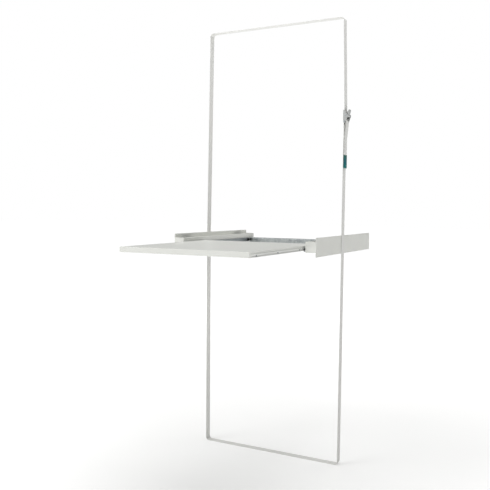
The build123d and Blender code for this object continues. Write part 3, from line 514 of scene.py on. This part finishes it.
def solid_boxes(node):
    """The low and high corner of each solid of a node, in order to a tenth of a millimetre."""
    work = joined(node)
    left, boxes = set(work.verts), []
    while left:
        group = [left.pop()]
        for vert in group:
            for edge in vert.link_edges:
                other = edge.other_vert(vert)
                if other in left:
                    left.remove(other)
                    group.append(other)
        low = Vector([min(vert.co[axis] for vert in group) for axis in range(3)])
        high = Vector([max(vert.co[axis] for vert in group) for axis in range(3)])
        boxes.append((low, high))
    work.free()
    return sorted(boxes, key=lambda corners: [round(value, 4) for value in corners[0]])


def screw_group(node, outward, head, seed):
    """One node's screws: each head's place and the length are read from the frame."""
    outward = Vector(outward)
    proud = max(head.values()) * MM
    places = []
    for low, high in solid_boxes(node):
        reach = sum(abs(outward[axis]) * (high[axis] - low[axis]) for axis in range(3))
        places.append(((low + high) / 2 + outward * (reach / 2 - proud), outward))
    one = screw(head, (reach - proud) / MM)
    group = copied(node + "_finished", one, places, screw_steel, pi / 2, seed)
    return dress(group, screw_steel, "zinc_plated_screw", frame["nodes"][node]["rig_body"], node)


copies = copies_tree()
screw_steel = plated_steel("zinc_plated_screw_steel", "#c3c7c9", "#a9aeb2", 0.3)
screw_group("rear_crossbar_screws", (0, 0, -1), PAN_HEAD, 1)
screw_group("tie_bar_screws", (0, 0, -1), FLAT_HEAD, 2)


# The slides' outer members: cold-rolled strip folded to a C with curled edges that hold the
# balls, zinc-plated, each screwed flat to its beam. A nylon block at the back stops the shelf.
COIL_CLOUD = 25.0
# Real rolling lines and fibres are under 0.1 mm wide, too fine to show, so they are drawn wider.
ROLLING_LINE, ROLLING_LENGTH, ROLLING_DEPTH = 0.5, 90.0, 0.01
FIBRE, FIBRE_DEPTH = 0.8, 0.03


def rolled_strip():
    """Zinc-plated cold-rolled strip: fine lines run the way it was drawn through the rolls."""
    material, tree, place = new_material("zinc_plated_rolled_strip")
    across, along = 1 / (ROLLING_LINE * MM), 1 / (ROLLING_LENGTH * MM)
    stretch = add(tree, "ShaderNodeMapping", {"Vector": place, "Scale": (across, along, across)})
    line = add(tree, "ShaderNodeTexNoise", {"Vector": stretch, "Scale": 1.0, "Detail": 3.0})
    cloud = add(tree, "ShaderNodeTexNoise", {"Vector": place, "Scale": 1 / (COIL_CLOUD * MM)})
    both = add(tree, "ShaderNodeMath", {0: line, 1: cloud}, operation="MULTIPLY")
    colour = add(tree, "ShaderNodeMix", {
        0: both, 6: linear("#9a9fa2"), 7: linear("#c6cacb"),
    }, data_type="RGBA")
    gloss = add(tree, "ShaderNodeMapRange", {"Value": line, "To Min": 0.26, "To Max": 0.46})
    bump = add(tree, "ShaderNodeBump", {"Height": line, "Distance": ROLLING_DEPTH * MM})
    shader = add(tree, "ShaderNodeBsdfPrincipled", {
        "Base Color": colour.outputs[2], "Metallic": 1.0, "Roughness": gloss, "Normal": bump,
    })
    add(tree, "ShaderNodeOutputMaterial", {"Surface": shader})
    return material


def black_nylon():
    """Black glass-filled nylon: a dull moulded skin with short pale fibres near the surface."""
    material, tree, place = new_material("black_glass_filled_nylon")
    fibre = add(tree, "ShaderNodeTexNoise", {
        "Vector": place, "Scale": 1 / (FIBRE * MM), "Detail": 4.0,
    })
    colour = add(tree, "ShaderNodeMix", {
        0: fibre, 6: linear("#151617"), 7: linear("#2b2c2d"),
    }, data_type="RGBA")
    bump = add(tree, "ShaderNodeBump", {"Height": fibre, "Distance": FIBRE_DEPTH * MM})
    shader = add(tree, "ShaderNodeBsdfPrincipled", {
        "Base Color": colour.outputs[2], "Roughness": 0.55, "IOR": 1.53, "Normal": bump,
    })
    add(tree, "ShaderNodeOutputMaterial", {"Surface": shader})
    return material


slide_steel = rolled_strip()
nylon = black_nylon()
for seed, (side, inward) in enumerate((("left", 1), ("right", -1)), 3):
    eased_copy(side + "_slide_outer_member", slide_steel, "zinc_plated_slide", ease=0.12)
    eased_copy(side + "_slide_rear_bumper", nylon, "black_nylon", ease=0.2)
    screw_group(side + "_slide_outer_screws", (inward, 0, 0), FLAT_HEAD, seed)


# The cages and balls: a thin pressed strip in each slide keeps ten hardened steel balls apart,
# so that they roll in two rows between the members. It moves half as far as the shelf.
BALL_RINGS = 12
ball_steel = plated_steel("polished_bearing_steel", "#d3d5d6", "#c5c8ca", 0.14)
for side in ("left", "right"):
    eased_copy(side + "_ball_cage", slide_steel, "zinc_plated_slide")
    node = side + "_bearing_balls"
    boxes = solid_boxes(node)
    radius = (boxes[0][1].z - boxes[0][0].z) / 2 / MM
    angles = [pi * ring / BALL_RINGS for ring in range(1, BALL_RINGS)]
    rings = [(radius * sin(angle), radius * cos(angle)) for angle in angles]
    ball = turned("ball", [(0.0, radius)] + rings + [(0.0, -radius)])
    places = [((low + high) / 2, (0, 0, 1)) for low, high in boxes]
    group = copied(node + "_finished", ball, places, ball_steel)
    dress(group, ball_steel, "ball_steel", side + "_cage", node)


# The shelf: a tray of sheet steel, folded down all round, with two galvanised hat strips
# spot-welded across underneath. White powder coats the tray; the strips are masked from it.
PEEL, PEEL_DEPTH = 2.2, 0.03
POWDER_CLOUD = 90.0


def powder_coat(name, light, dark):
    """Baked polyester powder: it melts to a hard satin skin with a slight orange peel."""
    material, tree, place = new_material(name)
    peel = add(tree, "ShaderNodeTexNoise", {
        "Vector": place, "Scale": 1 / (PEEL * MM), "Detail": 1.0,
    })
    cloud = add(tree, "ShaderNodeTexNoise", {"Vector": place, "Scale": 1 / (POWDER_CLOUD * MM)})
    colour = add(tree, "ShaderNodeMix", {
        0: cloud, 6: linear(light), 7: linear(dark),
    }, data_type="RGBA")
    bump = add(tree, "ShaderNodeBump", {"Height": peel, "Distance": PEEL_DEPTH * MM})
    shader = add(tree, "ShaderNodeBsdfPrincipled", {
        "Base Color": colour.outputs[2], "Roughness": 0.32, "IOR": 1.5, "Normal": bump,
    })
    add(tree, "ShaderNodeOutputMaterial", {"Surface": shader})
    return material


tray_coat = powder_coat("white_polyester_powder_coat", "#e6e7e2", "#e0e1dc")
eased_copy("shelf_tray", tray_coat, "white_powder_coat", ease=0.15)
eased_copy("shelf_stiffeners", galvanised, "galvanised_steel", ease=0.2)

# The slides' inner members: narrower folded strip with grooves for the balls, screwed to the
# shelf's sides with pan heads. Their coat is painted lighter than the tray's, to lift the shade in
# their grooves.
# Painted highlight: this is the tray's white made lighter, to lift the shade that falls in the
# slides' grooves.
shade_lifted_slide_coat = powder_coat("pure_white_powder_coat", "#f4f5f2", "#eff0ed")
for seed, (side, outward) in enumerate((("left", -1), ("right", 1)), 5):
    eased_copy(side + "_slide_inner_member", shade_lifted_slide_coat, "white_powder_coat", ease=0.12)
    screw_group(side + "_slide_inner_screws", (outward, 0, 0), PAN_HEAD, seed)

# The shelf's nose: a hollow moulding of white ABS with a rounded front edge, open underneath
# as a grip for the fingers, and held by three screws through the tray's front flange.
eased_copy("shelf_front_trim", cap_abs, "white_abs", ease=0.3)
screw_group("shelf_trim_screws", (0, 1, 0), PAN_HEAD, 7)


# The cam buckle: a die-cast zinc body of two side plates on a base, tumbled until its edges
# are soft, with a steel bar for the sewn end and a steel pin for the cam.
# The real casting skin has a grain of 0.2 mm, too fine to show, so it is drawn 0.7 mm wide.
CAST_GRAIN, CAST_DEPTH = 0.7, 0.03
RUBBED_PATCH = 8.0
ANCHOR_RADIUS, PIN_RADIUS = 2.5, 2.0
PIN_SEGMENTS = 32
# A peened head from its middle outwards: shares of its height at shares of its radius.
peened_head = {0.0: 0.0, 0.55: 0.0, 0.8: 0.25, 0.95: 0.6, 1.0: 1.0}


def die_cast_zinc():
    """Tumbled die-cast zinc: dull silver, pitted very finely, and brighter where it rubs."""
    material, tree, place = new_material("tumbled_die_cast_zinc")
    grain = add(tree, "ShaderNodeTexNoise", {
        "Vector": place, "Scale": 1 / (CAST_GRAIN * MM), "Detail": 4.0,
    })
    rub = add(tree, "ShaderNodeTexNoise", {
        "Vector": place, "Scale": 1 / (RUBBED_PATCH * MM), "Detail": 2.0,
    })
    colour = add(tree, "ShaderNodeMix", {
        0: rub, 6: linear("#a3a5a4"), 7: linear("#bdbfbe"),
    }, data_type="RGBA")
    gloss = add(tree, "ShaderNodeMapRange", {"Value": rub, "To Min": 0.5, "To Max": 0.34})
    bump = add(tree, "ShaderNodeBump", {"Height": grain, "Distance": CAST_DEPTH * MM})
    shader = add(tree, "ShaderNodeBsdfPrincipled", {
        "Base Color": colour.outputs[2], "Metallic": 1.0, "Roughness": gloss, "Normal": bump,
    })
    add(tree, "ShaderNodeOutputMaterial", {"Surface": shader})
    return material


def riveted_pin(node, radius):
    """A steel pin through both side plates, its ends peened over to flat domes."""
    low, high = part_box(node)
    head_radius = (high.z - low.z) / 2 / MM
    head = (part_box("buckle_frame")[0].y - low.y) / MM
    reach = (high.y - low.y) / 2 / MM
    first = [(wide * head_radius, share * head - reach) for wide, share in peened_head.items()]
    shank = [(radius, head - reach), (radius, reach - head)]
    second = [(ring_radius, -height) for ring_radius, height in reversed(first)]
    piece = turned(node + "_finished", first + shank + second, PIN_SEGMENTS)
    upright = Matrix.Rotation(radians(-90), 4, "X")
    piece.data.transform(Matrix.Translation((low + high) / 2) @ upright)
    smooth(piece)
    return dress(piece, pin_steel, "pin_steel", "frame", node)


cast_zinc = die_cast_zinc()
pin_steel = plated_steel("drawn_pin_steel", "#b4b8ba", "#9aa0a3", 0.3)
eased_copy("buckle_frame", cast_zinc, "diecast_zinc", ease=0.4, clamped=True)
riveted_pin("buckle_anchor_bar", ANCHOR_RADIUS)
riveted_pin("cam_pin", PIN_RADIUS)

# The cam lever: die-cast with its toothed cam and thumb pad in one. The teeth press the strap
# against the base plate; lifting the pad turns them away.
eased_copy("cam_lever", cast_zinc, "diecast_zinc", ease=0.3)

# The cam spring: music wire wound round the pin beside the cam. One leg bears on the base
# plate, and the other is turned into the cam's flank. Its sizes are in millimetres.
SPRING_WIRE = 0.8
SPRING_TURNS, SPRING_STEPS = 2.5, 24
SPRING_END = 2.0
BASE_PLATE = 2.0
WIRE_SMOOTH_ANGLE = 60


def cam_spring():
    """The spring's wire, from the leg on the base plate to the end in the cam."""
    low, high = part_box("cam_spring")
    centre = (low + high) / 2
    wire = SPRING_WIRE * MM
    radius = (high.z - low.z) / 2 - wire / 2
    start_y, end_y = high.y - wire / 2, low.y + wire / 2
    plate_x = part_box("buckle_frame")[0].x + BASE_PLATE * MM
    points = [(plate_x + wire, start_y, centre.z - radius)]
    steps = int(SPRING_TURNS * SPRING_STEPS)
    for step in range(steps + 1):
        angle = -pi / 2 + 2 * pi * step / SPRING_STEPS
        y = start_y + (end_y - start_y) * step / steps
        points.append((centre.x + radius * cos(angle), y, centre.z + radius * sin(angle)))
    x, y, z = points[-1]
    points.append((x, y - SPRING_END * MM, z))
    line = bpy.data.curves.new("cam_spring", "CURVE")
    line.dimensions, line.bevel_depth, line.bevel_resolution = "3D", wire / 2, 3
    line.use_fill_caps = True
    spline = line.splines.new("POLY")
    spline.points.add(len(points) - 1)
    for item, place in zip(spline.points, points):
        item.co = (*place, 1.0)
    drawn = linked("cam_spring_line", line)
    piece = linked("cam_spring_finished", bpy.data.meshes.new_from_object(
        drawn.evaluated_get(bpy.context.evaluated_depsgraph_get())))
    bpy.data.objects.remove(drawn)
    smooth(piece, WIRE_SMOOTH_ANGLE)
    return dress(piece, pin_steel, "pin_steel", "frame", "cam_spring")


cam_spring()


# The strap: one length of white polyester webbing, woven 30 mm wide and 1.5 mm thick. From its
# free end it goes in under the cam, then once round in a tall loop that lies against both
# beams' outer walls, and ends sewn round the anchor bar. All sizes are in millimetres.
STRAP_WIDTH, STRAP_THICK = 30.0, 1.5
# The section, from the selvedge to the middle: it dips beside the selvedge, and the body's
# points are given as shares of the way across.
SELVEDGE = 1.4
HOLLOW_SHARE, BODY_SHARE = 0.88, 0.9
BODY_PLACES = (0.3, 0.42, 0.65, 0.95)
# The line: the bends' radii, where the free end and the sewn end leave the buckle, and how
# finely the line is divided, with angles in degrees.
TURN_RADIUS, MERGE_RADIUS, EASY_RADIUS = 3.0, 6.0, 60.0
CORNER_LEG = 1.0
WRAP_BEND_SHARE = 0.999
TAIL_TURN_DOWN, TAIL_BEND = 10.9, 6.0
SEWN_MERGE, SEWN_GAP = 26.0, 0.1
STRAP_STEP, ARC_STEP, STRAIGHT_ANGLE = 14.0, 9.0, 0.1
LEVEL_BAND = 0.2
CLOTH_SMOOTH_ANGLE = 50
# The weave: real picks are 1 mm apart, too fine to show, so they are drawn 2 mm apart, and
# the yarn's fibres, 0.02 mm thick, are drawn as a noise of 0.5 mm.
CHEVRON_WIDTH, PICK_PITCH, PICK_DEPTH = 3.0, 2.0, 0.06
YARN_GRAIN = 0.5


def middle_at(node, height):
    """The middle of a strap node's section at one height."""
    ring = [vert.co for vert in frame["nodes"][node].data.vertices
            if abs(vert.co.z - height) < LEVEL_BAND * MM]
    low = Vector([min(co[axis] for co in ring) for axis in range(3)])
    high = Vector([max(co[axis] for co in ring) for axis in range(3)])
    return (low + high) / 2


def bent(corners):
    """A line through corners, each given with the radius of its bend, as points close together."""
    points = [Vector(corners[0][0])]
    for (before, _), (corner, radius), (after, _) in zip(corners, corners[1:], corners[2:]):
        corner = Vector(corner)
        back = (Vector(before) - corner).normalized()
        ahead = (Vector(after) - corner).normalized()
        turn = pi - back.angle(ahead)
        if turn < radians(STRAIGHT_ANGLE):
            continue
        reach = radius * MM * tan(turn / 2)
        centre = corner + (back + ahead).normalized() * (radius * MM / cos(turn / 2))
        first, last = corner + back * reach - centre, corner + ahead * reach - centre
        swing = acos(max(-1, min(1, first.normalized().dot(last.normalized()))))
        steps = max(2, ceil(turn / radians(ARC_STEP)))
        for step in range(steps + 1):
            share = step / steps
            spoke = (first * sin((1 - share) * swing) + last * sin(share * swing)) / sin(swing)
            points.append(centre + spoke)
    points.append(Vector(corners[-1][0]))
    close = [points[0]]
    for point in points[1:]:
        gap = (point - close[-1]).length
        parts = max(1, round(gap / (STRAP_STEP * MM)))
        close += [close[-1].lerp(point, part / parts) for part in range(1, parts + 1)]
    return close


def webbing_section(width, thick):
    """The webbing's cut face: round selvedges, and a body a little thinner than they are."""
    half = thick / 2
    flat = width / 2 - half
    edge = [(flat + half * cos(radians(angle)), half * sin(radians(angle)))
            for angle in (0, 30, 60, 90)]
    hollow = (width / 2 - SELVEDGE * MM, HOLLOW_SHARE * half)
    body = [(flat - share * flat, BODY_SHARE * half) for share in BODY_PLACES]
    upper = edge + [hollow] + body
    top = upper + [(-across, high) for across, high in reversed(upper)]
    return top + [(across, -high) for across, high in reversed(top[1:-1])]


def band(name, points, section, width):
    """Webbing along a line: its section lies level along Y, and its map gives across and along."""
    mesh = bpy.data.meshes.new(name)
    work = bmesh.new()
    layer = work.loops.layers.uv.new("webbing")
    along, rings, travelled = [], [], 0.0
    for index, point in enumerate(points):
        before, after = points[max(index - 1, 0)], points[min(index + 1, len(points) - 1)]
        travelled += (point - before).length
        outward = Vector((0, 1, 0)).cross(after - before).normalized()
        rings.append([work.verts.new(point + Vector((0, across, 0)) + outward * high)
                      for across, high in section])
        along.append(travelled)
    count = len(section)
    for index in range(len(rings) - 1):
        for step in range(count):
            after = (step + 1) % count
            corners = [(index, step), (index, after), (index + 1, after), (index + 1, step)]
            face = work.faces.new([rings[ring][place] for ring, place in corners])
            for loop, (ring, place) in zip(face.loops, corners):
                loop[layer].uv = (section[place][0] + width / 2, along[ring])
    for ring in (rings[0], rings[-1]):
        work.faces.new(ring)
    bmesh.ops.recalc_face_normals(work, faces=work.faces)
    work.to_mesh(mesh)
    work.free()
    piece = linked(name, mesh)
    smooth(piece, CLOTH_SMOOTH_ANGLE)
    return piece, travelled


def polyester_webbing():
    """Woven polyester: chevrons of thick yarn, with painted shade darkening the hollows between
    them, and a soft sheen.
    """
    material, tree, _ = new_material("woven_white_polyester")
    place = add(tree, "ShaderNodeUVMap", uv_map="webbing")
    part = add(tree, "ShaderNodeSeparateXYZ", {0: place}).outputs
    column = add(tree, "ShaderNodeMath", {
        0: part["X"], 1: CHEVRON_WIDTH * MM,
    }, operation="DIVIDE")
    slant = add(tree, "ShaderNodeMath", {0: column, 1: 1.0}, operation="PINGPONG")
    row = add(tree, "ShaderNodeMath", {
        0: part["Y"], 1: 1 / (PICK_PITCH * MM), 2: slant,
    }, operation="MULTIPLY_ADD")
    angle = add(tree, "ShaderNodeMath", {0: row, 1: 2 * pi}, operation="MULTIPLY")
    wave = add(tree, "ShaderNodeMath", {0: angle}, operation="SINE")
    yarn = add(tree, "ShaderNodeTexNoise", {
        "Vector": place, "Scale": 1 / (YARN_GRAIN * MM), "Detail": 2.0,
    })
    height = add(tree, "ShaderNodeMath", {0: wave, 1: 0.5, 2: yarn}, operation="MULTIPLY_ADD")
    # Painted shade: the colour darkens where the weave is low, in the hollows between the yarns.
    shade = add(tree, "ShaderNodeMapRange", {"Value": height, "To Min": 0.2, "To Max": 1.0})
    colour = add(tree, "ShaderNodeMix", {
        0: shade, 6: linear("#d3d3cf"), 7: linear("#eaeae7"),
    }, data_type="RGBA")
    bump = add(tree, "ShaderNodeBump", {"Height": height, "Distance": PICK_DEPTH * MM})
    shader = add(tree, "ShaderNodeBsdfPrincipled", {
        "Base Color": colour.outputs[2], "Roughness": 0.72, "IOR": 1.5, "Sheen Weight": 0.25,
        "Sheen Roughness": 0.4, "Normal": bump,
    })
    add(tree, "ShaderNodeOutputMaterial", {"Surface": shader})
    return material


half_thick = STRAP_THICK * MM / 2
anchor = sum(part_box("buckle_anchor_bar"), Vector()) / 2
pin = sum(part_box("cam_pin"), Vector()) / 2
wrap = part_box("strap_sewn_loop")[1].z - half_thick - anchor.z
lip_low, lip_top = (corner.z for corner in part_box("right_side_beam"))
upper_low, upper_high = (corner.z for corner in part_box("strap_upper_run"))
lower_low, lower_high = (corner.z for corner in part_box("strap_lower_run"))
across_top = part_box("strap_top_run")[1].z - half_thick
across_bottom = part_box("strap_bottom_run")[0].z + half_thick

nip = middle_at("strap_upper_run", upper_low)
buckle_top = middle_at("strap_upper_run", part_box("buckle_frame")[1].z)
top_right = middle_at("strap_upper_run", upper_high)
top_left = middle_at("strap_left_run", upper_high)
lip_left = [middle_at("strap_left_run", height) for height in (lip_top, lip_low)]
foot_left = middle_at("strap_left_run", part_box("strap_left_run")[0].z)
foot_right = middle_at("strap_lower_run", lower_low)
lip_right = [middle_at("strap_lower_run", height) for height in (lip_low, lip_top)]
wrap_foot = middle_at("strap_lower_run", lower_high)
corner_radius = (across_top - top_right.z) / MM - CORNER_LEG
lean = (wrap_foot - lip_right[1]) / (wrap_foot.z - lip_right[1].z)


def beside_lower_run(height, out):
    """A place beside the lower run's line at one height, moved outwards."""
    return wrap_foot + lean * (height - wrap_foot.z) + Vector((out, 0, 0))


# The free end hangs outside the sewn end and leans in against it below the anchor bar.
sewn_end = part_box("strap_sewn_loop")[0].z
tail_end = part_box("strap_tail")[0].z
tail_drop = middle_at("strap_tail", wrap_foot.z - TAIL_BEND * MM)
tail_lie = middle_at("strap_tail", tail_end).x - beside_lower_run(tail_end, 0).x
lie = (STRAP_THICK + SEWN_GAP) * MM
merge = beside_lower_run(wrap_foot.z - SEWN_MERGE * MM, lie)
wrap_top, wrap_radius = anchor.z + wrap, wrap / MM * WRAP_BEND_SHARE
route = [
    (beside_lower_run(tail_end, tail_lie), 0),
    (beside_lower_run(sewn_end, tail_lie), EASY_RADIUS),
    (tail_drop, TURN_RADIUS),
    ((tail_drop.x, nip.y, wrap_top), TURN_RADIUS),
    ((nip.x, nip.y, pin.z - TAIL_TURN_DOWN * MM), TURN_RADIUS),
    (buckle_top, EASY_RADIUS),
    (top_right, EASY_RADIUS),
    ((top_right.x, top_right.y, across_top), corner_radius),
    ((top_left.x, top_left.y, across_top), corner_radius),
    (top_left, EASY_RADIUS),
    (lip_left[0], EASY_RADIUS),
    (lip_left[1], EASY_RADIUS),
    (foot_left, EASY_RADIUS),
    ((foot_left.x, foot_left.y, across_bottom), corner_radius),
    ((foot_right.x, foot_right.y, across_bottom), corner_radius),
    (foot_right, EASY_RADIUS),
    (lip_right[0], EASY_RADIUS),
    (lip_right[1], EASY_RADIUS),
    (wrap_foot, TURN_RADIUS),
    ((wrap_foot.x, wrap_foot.y, wrap_top), wrap_radius),
    ((anchor.x + wrap, wrap_foot.y, wrap_top), wrap_radius),
    ((anchor.x + wrap, wrap_foot.y, wrap_foot.z), TURN_RADIUS),
    (merge, MERGE_RADIUS),
    (beside_lower_run(sewn_end, lie), 0),
]
webbing = polyester_webbing()
section = webbing_section(STRAP_WIDTH * MM, STRAP_THICK * MM)
strap, strap_length = band("strap_webbing", bent(route), section, STRAP_WIDTH * MM)
dress(strap, webbing, "white_webbing", "frame", "strap_upper_run", "strap_top_run",
      "strap_left_run", "strap_bottom_run", "strap_lower_run", "strap_sewn_loop", "strap_tail")


# The sewn end: bonded white thread holds the webbing's two layers together in a box with a
# cross through it, the usual seam for a load. Each stitch shows on both outer faces.
STITCH, THREAD = 3.2, 0.55
STITCH_FILL = 0.86
STITCH_SEGMENTS = 8
SHOULDER_RADIUS_SHARE, SHOULDER_HEIGHT_SHARE = 0.6, 0.75
BOX_INSET = 4.0
# The plies' twist is drawn a little wider than its 0.25 mm, so that it shows.
PLY_TWIST = 0.4


def stitched(name, lines):
    """Lens-shaped stitches one after another along straight lines, each given by its two ends."""
    half, fat = STITCH * STITCH_FILL / 2, THREAD / 2
    shoulder, rise = fat * SHOULDER_RADIUS_SHARE, half * SHOULDER_HEIGHT_SHARE
    lens = turned("stitch", [(0.0, half), (shoulder, rise), (fat, 0.0), (shoulder, -rise),
                             (0.0, -half)], STITCH_SEGMENTS)
    places = []
    for start, end in lines:
        count = round((end - start).length / (STITCH * MM))
        places += [(start.lerp(end, (step + 0.5) / count), end - start) for step in range(count)]
    return dress(copied(name, lens, places, thread), thread, "white_webbing", "frame")


def bonded_thread():
    """Bonded nylon thread: smooth, slightly glossy, with the twist of its plies."""
    material, tree, place = new_material("bonded_nylon_thread")
    twist = add(tree, "ShaderNodeTexNoise", {"Vector": place, "Scale": 1 / (PLY_TWIST * MM)})
    colour = add(tree, "ShaderNodeMix", {
        0: twist, 6: linear("#dcdcd8"), 7: linear("#f0f0ee"),
    }, data_type="RGBA")
    shader = add(tree, "ShaderNodeBsdfPrincipled", {
        "Base Color": colour.outputs[2], "Roughness": 0.45, "IOR": 1.53,
    })
    add(tree, "ShaderNodeOutputMaterial", {"Surface": shader})
    return material


thread = bonded_thread()
half_box = (STRAP_WIDTH / 2 - BOX_INSET) * MM
box_low, box_high = sewn_end + BOX_INSET * MM, merge.z - BOX_INSET * MM / 2
box_corners = ((box_low, -1), (box_low, 1), (box_high, 1), (box_high, -1))
box_sides, box_cross = ((0, 1), (1, 2), (2, 3), (3, 0)), ((0, 2), (1, 3))
lines = []
for out in (lie + half_thick, -half_thick):
    corners = [beside_lower_run(height, out) + Vector((0, side * half_box, 0))
               for height, side in box_corners]
    lines += [(corners[first], corners[last]) for first, last in box_sides + box_cross]
stitched("sewn_end_stitching", lines)


# The end label: a plain strip of teal satin folded round the free end and sewn across near its
# top and bottom edges. It is a little wider at the bottom. All sizes are in millimetres.
LABEL_WALL, LABEL_PLAY = 0.6, 0.05
LABEL_TOP_WIDTH, LABEL_FOOT_WIDTH = 31.6, 33.0
LABEL_FLARE_SHARE = 0.6
LABEL_INSET, LABEL_MARGIN = 2.2, 1.5
LABEL_LEVELS = 12
# Real satin has ribs of 0.2 mm, too fine to show, so they are drawn 0.8 mm apart.
SATIN_RIB, SATIN_DEPTH = 0.8, 0.03


def teal_satin(low, high):
    """Woven satin, dyed teal, bluer in the middle and greener at the top; its ribs run across."""
    material, tree, place = new_material("teal_woven_satin")
    height = add(tree, "ShaderNodeSeparateXYZ", {0: place}).outputs["Z"]
    middle = (low + high) / 2
    to_middle = add(tree, "ShaderNodeMapRange", {
        "Value": height, "From Min": low, "From Max": middle,
    })
    to_top = add(tree, "ShaderNodeMapRange", {
        "Value": height, "From Min": middle, "From Max": high,
    })
    lower = add(tree, "ShaderNodeMix", {
        0: to_middle, 6: linear("#0a7673"), 7: linear("#226972"),
    }, data_type="RGBA")
    upper = add(tree, "ShaderNodeMix", {
        0: to_top, 6: lower.outputs[2], 7: linear("#33675c"),
    }, data_type="RGBA")
    angle = add(tree, "ShaderNodeMath", {
        0: height, 1: 2 * pi / (SATIN_RIB * MM),
    }, operation="MULTIPLY")
    rib = add(tree, "ShaderNodeMath", {0: angle}, operation="SINE")
    bump = add(tree, "ShaderNodeBump", {"Height": rib, "Distance": SATIN_DEPTH * MM})
    shader = add(tree, "ShaderNodeBsdfPrincipled", {
        "Base Color": upper.outputs[2], "Roughness": 0.6, "IOR": 1.5,
        "Specular IOR Level": 0.1, "Normal": bump,
    })
    add(tree, "ShaderNodeOutputMaterial", {"Surface": shader})
    return material


def label_sleeve(low, high):
    """A sleeve of thin cloth round the strap's end, with soft folded sides."""
    work = bmesh.new()
    rings = []
    for wall in (0.0, LABEL_WALL * MM):
        for level in range(LABEL_LEVELS + 1):
            share = level / LABEL_LEVELS
            narrowing = min(1.0, share / LABEL_FLARE_SHARE)
            width = LABEL_FOOT_WIDTH + (LABEL_TOP_WIDTH - LABEL_FOOT_WIDTH) * narrowing
            half_wide, half_deep = width * MM / 2 - wall, half_label - wall
            centre = beside_lower_run(low + share * (high - low), tail_lie)
            ring = []
            for side in (1, -1):
                for angle in range(-90, 91, 30):
                    across = half_wide - half_deep + half_deep * cos(radians(angle))
                    out = half_deep * sin(radians(angle))
                    ring.append(work.verts.new(centre + Vector((side * out, side * across, 0))))
            rings.append(ring)
    outer, inner = rings[:LABEL_LEVELS + 1], rings[LABEL_LEVELS + 1:]
    pairs = list(zip(outer, outer[1:])) + list(zip(inner, inner[1:]))
    pairs += [(outer[0], inner[0]), (outer[-1], inner[-1])]
    for first, second in pairs:
        for step in range(len(first)):
            after = (step + 1) % len(first)
            work.faces.new([first[step], first[after], second[after], second[step]])
    bmesh.ops.recalc_face_normals(work, faces=work.faces)
    mesh = bpy.data.meshes.new("strap_label")
    work.to_mesh(mesh)
    work.free()
    piece = linked("strap_label_finished", mesh)
    smooth(piece, CLOTH_SMOOTH_ANGLE)
    return piece


half_label = half_thick + (LABEL_WALL + LABEL_PLAY) * MM
label_low, label_high = (corner.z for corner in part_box("strap_label"))
label = label_sleeve(label_low, label_high)
dress(label, teal_satin(label_low, label_high), "teal_label", "frame", "strap_label")

reach = Vector((0, (LABEL_TOP_WIDTH / 2 - LABEL_MARGIN) * MM, 0))
lines = []
for height in (label_low + LABEL_INSET * MM, label_high - LABEL_INSET * MM):
    for side in (-1, 1):
        middle = beside_lower_run(height, tail_lie + side * half_label)
        lines.append((middle - reach, middle + reach))
stitched("label_stitching", lines)
